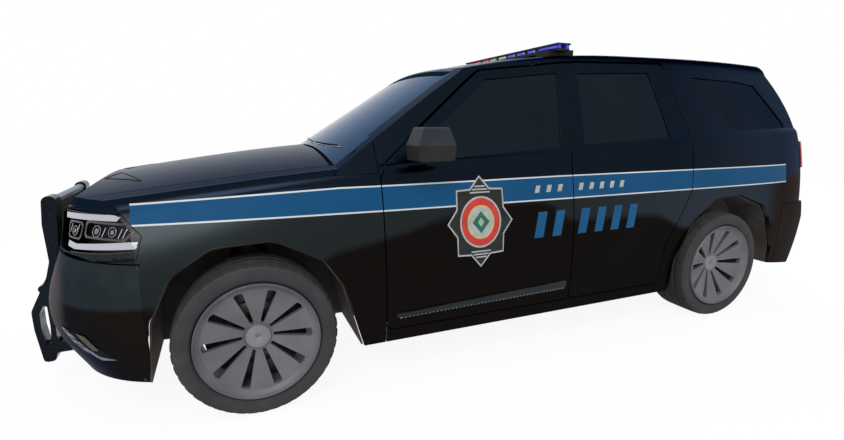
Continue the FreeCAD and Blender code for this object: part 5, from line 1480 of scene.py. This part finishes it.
def seats():
    """Cushions and backs with sewn seams, each in the space of its CAD block."""
    for row, half_width, centres, cushion_node, back_node, channel_y, heads in SEATS:
        low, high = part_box(cushion_node)
        half = ((high.x - low.x) / 2.0, half_width, (high.z - low.z) / 2.0)
        middle = Vector(((low.x + high.x) / 2.0, 0.0, (low.z + high.z) / 2.0))
        across = (channel_y, -channel_y)
        seam_y = half_width - SEAM_INSET
        channels = [(1, y, 0.007) for y in across] + [(0, x, 0.005) for x in (0.07, -0.05)]
        cushion = pad_mesh(row + "_cushion", [((0, 0, 0), half)], channels)
        parts = [((-0.060, 0, 0.236), (BACK_BLOCK[0], half_width, BACK_BLOCK[1]))]
        parts += [((-0.060, y, 0.556), HEAD_BLOCK) for y in heads]
        parts += [((-0.060, y, 0.470), NECK_BLOCK) for y in heads]
        back = pad_mesh(row + "_back", parts, [])
        lean = Matrix.Rotation(-BACK_LEAN, 4, "Y")
        for y in centres:
            side = "" if row == "rear" else ("_left" if y > 0 else "_right")
            flip = Matrix.Diagonal((1.0, -1.0 if y < 0 else 1.0, 1.0, 1.0))
            moved = Matrix.Translation(middle + Vector((0, y, 0))) @ flip
            piece = place_pad(row + "_cushion_pad" + side, cushion, moved, cushion_node)
            lines = [[middle + Vector((a, y + b, half[2])) for a, b in
                      rectangle(half[0] - SEAM_INSET, seam_y)]]
            run = 2 * half[0] - 0.1
            lines += [[middle + Vector((-half[0] + 0.05 + run * k / 20, y + b, half[2]))
                       for k in range(21)] for b in across]
            seam_on(row + "_cushion_seams" + side, piece, lines, Vector((0, 0, -1)))
            moved = Matrix.Translation(Vector((low.x - 0.002, y, BACK_FOOT_Z))) @ lean @ flip
            piece = place_pad(row + "_back_pad" + side, back, moved, back_node)
            lines = [[moved @ Vector((0.0, a, 0.236 + b)) for a, b in rectangle(seam_y, 0.20)]]
            lines += [[moved @ Vector((0.0, a, 0.05 + 0.37 * k / 16)) for k in range(17)]
                      for a in across]
            inward = (lean @ Vector((-1, 0, 0))).normalized()
            seam_on(row + "_back_seams" + side, piece, lines, inward)


# ---------------------------------------------------------------- cabin
VENT_SLATS = [((-0.906, y, z), (-0.896, y + 0.080, z + 0.004))
              for y in (0.575, 0.165, -0.245, -0.655) for z in (0.958, 0.970, 0.982, 0.994, 1.006)]
# Name, finish, bevel, boxes.
DASHBOARD = [
    ("dash_binnacle", "vinyl", 0.014, [((-0.935, 0.235, 0.985), (-0.760, 0.545, 1.062))]),
    ("dash_cluster", "frit", 0.004, [((-0.9385, 0.255, 0.994), (-0.930, 0.525, 1.052))]),
    ("dash_screen_frame", "black", 0.006, [((-0.912, -0.150, 0.872), (-0.895, 0.150, 1.030))]),
    ("dash_screen", "frit", 0.002, [((-0.9145, -0.138, 0.884), (-0.908, 0.138, 1.020))]),
    ("dash_vents", "black", 0.001, VENT_SLATS),
    ("glove_box_lid", "vinyl", 0.004, [((-0.905, -0.600, 0.880), (-0.896, -0.240, 0.945))]),
]
CONSOLE = [
    ("gear_knob", "vinyl", 0.018, [((-1.058, -0.022, 0.710), (-1.004, 0.022, 0.762))]),
    ("console_pad", "vinyl", 0.012, [((-1.545, -0.098, 0.632), (-1.260, 0.098, 0.668))]),
]
STEERING_TILT = math.radians(26.0)


def cabin():
    """Screens, vents and binnacle on the dashboard, the console's lever, the steering
    wheel's pad and the doors' armrests."""
    for name, finish, bevel, boxes in DASHBOARD:
        blocks(name, finish, "body", boxes, bevel)
    wires("gear_lever", [[at(-1.02, 0.0, 0.630), at(-1.03, 0.0, 0.720)]], 0.009, "black", "body")
    for name, finish, bevel, boxes in CONSOLE:
        blocks(name, finish, "body", boxes, bevel)
    axis = Vector((-math.cos(STEERING_TILT), 0.0, math.sin(STEERING_TILT)))
    low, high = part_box("steering_wheel")
    bm = bmesh.new()
    add_stud(bm, (low + high) / 2.0 + axis * 0.006, axis.to_track_quat("Z", "Y").to_matrix().to_4x4(),
             40, 0.062, 0.052, 0.034)
    bevelled(keep(bm, "steering_pad", "vinyl", "steering_wheel", True), 0.008, 3)
    for word, side in SIDES:
        for start, x0, x1 in (("front_door_", -1.700, -1.200), ("rear_door_", -2.360, -2.020)):
            y0, y1 = sorted((side * 0.842, side * 0.893))
            blocks("armrest_" + start + word, "vinyl", start + word,
                   [((x0, y0, 0.655), (x1, y1, 0.705))], 0.014)


# ---------------------------------------------------------------- stage
WORLD_LIGHT = 0.75
FLOOR_SIZE = 160.0
FLOOR_GLOW = 0.90              # share of the floor seen as a plain glow
FLOOR_GLOW_STRENGTH = 1.02
LAMP_TARGET = Vector((0, 0, 0.8))
# Name, place, size, power.
LAMPS = [
    ("key", (4.0, 7.0, 7.5), 5.0, 500.0),
    ("fill", (-7.0, -5.0, 6.0), 5.0, 260.0),
]


def seen_ray(tree):
    """1 for camera, glossy and transmission rays."""
    path = added(tree, "LightPath")
    seen = calculated(tree, "MAXIMUM", path.outputs["Is Camera Ray"], path.outputs["Is Glossy Ray"])
    return calculated(tree, "MAXIMUM", seen, path.outputs["Is Transmission Ray"])


def make_stage():
    world = bpy.data.worlds.new("studio")
    bpy.context.scene.world = world
    world.use_nodes = True
    tree = world.node_tree
    feed(tree, tree.nodes["Background"], Color=rgba(1.0, 1.0, 1.0),
         Strength=between(tree, seen_ray(tree), WORLD_LIGHT, 1.0))

    bpy.ops.mesh.primitive_plane_add(size=FLOOR_SIZE, location=(0, 0, 0))
    floor = bpy.context.object
    floor.name = "floor"
    material, tree, shader = new_material("pale_floor")
    feed(tree, shader, Base_Color=rgba(0.86, 0.86, 0.86), Roughness=0.9, Specular_IOR_Level=0.1)
    glow = added(tree, "Emission", Strength=FLOOR_GLOW_STRENGTH)
    shown(tree, calculated(tree, "MULTIPLY", seen_ray(tree), FLOOR_GLOW), shader, glow)
    floor.data.materials.append(material)

    for name, place, size, power in LAMPS:
        data = bpy.data.lights.new(name, "AREA")
        data.shape = "SQUARE"
        data.size = size
        data.energy = power
        aimed(new_object(name, data), place, LAMP_TARGET - Vector(place))
    bpy.context.scene.view_settings.view_transform = "Standard"


make_camera()
make_materials()
finish_frame()
stripes()
door_markings()
mouldings()
headlamps()
tail_lamps()
grille()
intake()
corner_vents()
push_bumper()
hood_details()
windshield_details()
light_bar()
mirrors()
wheels()
rear_end()
backing()
seats()
cabin()
make_stage()
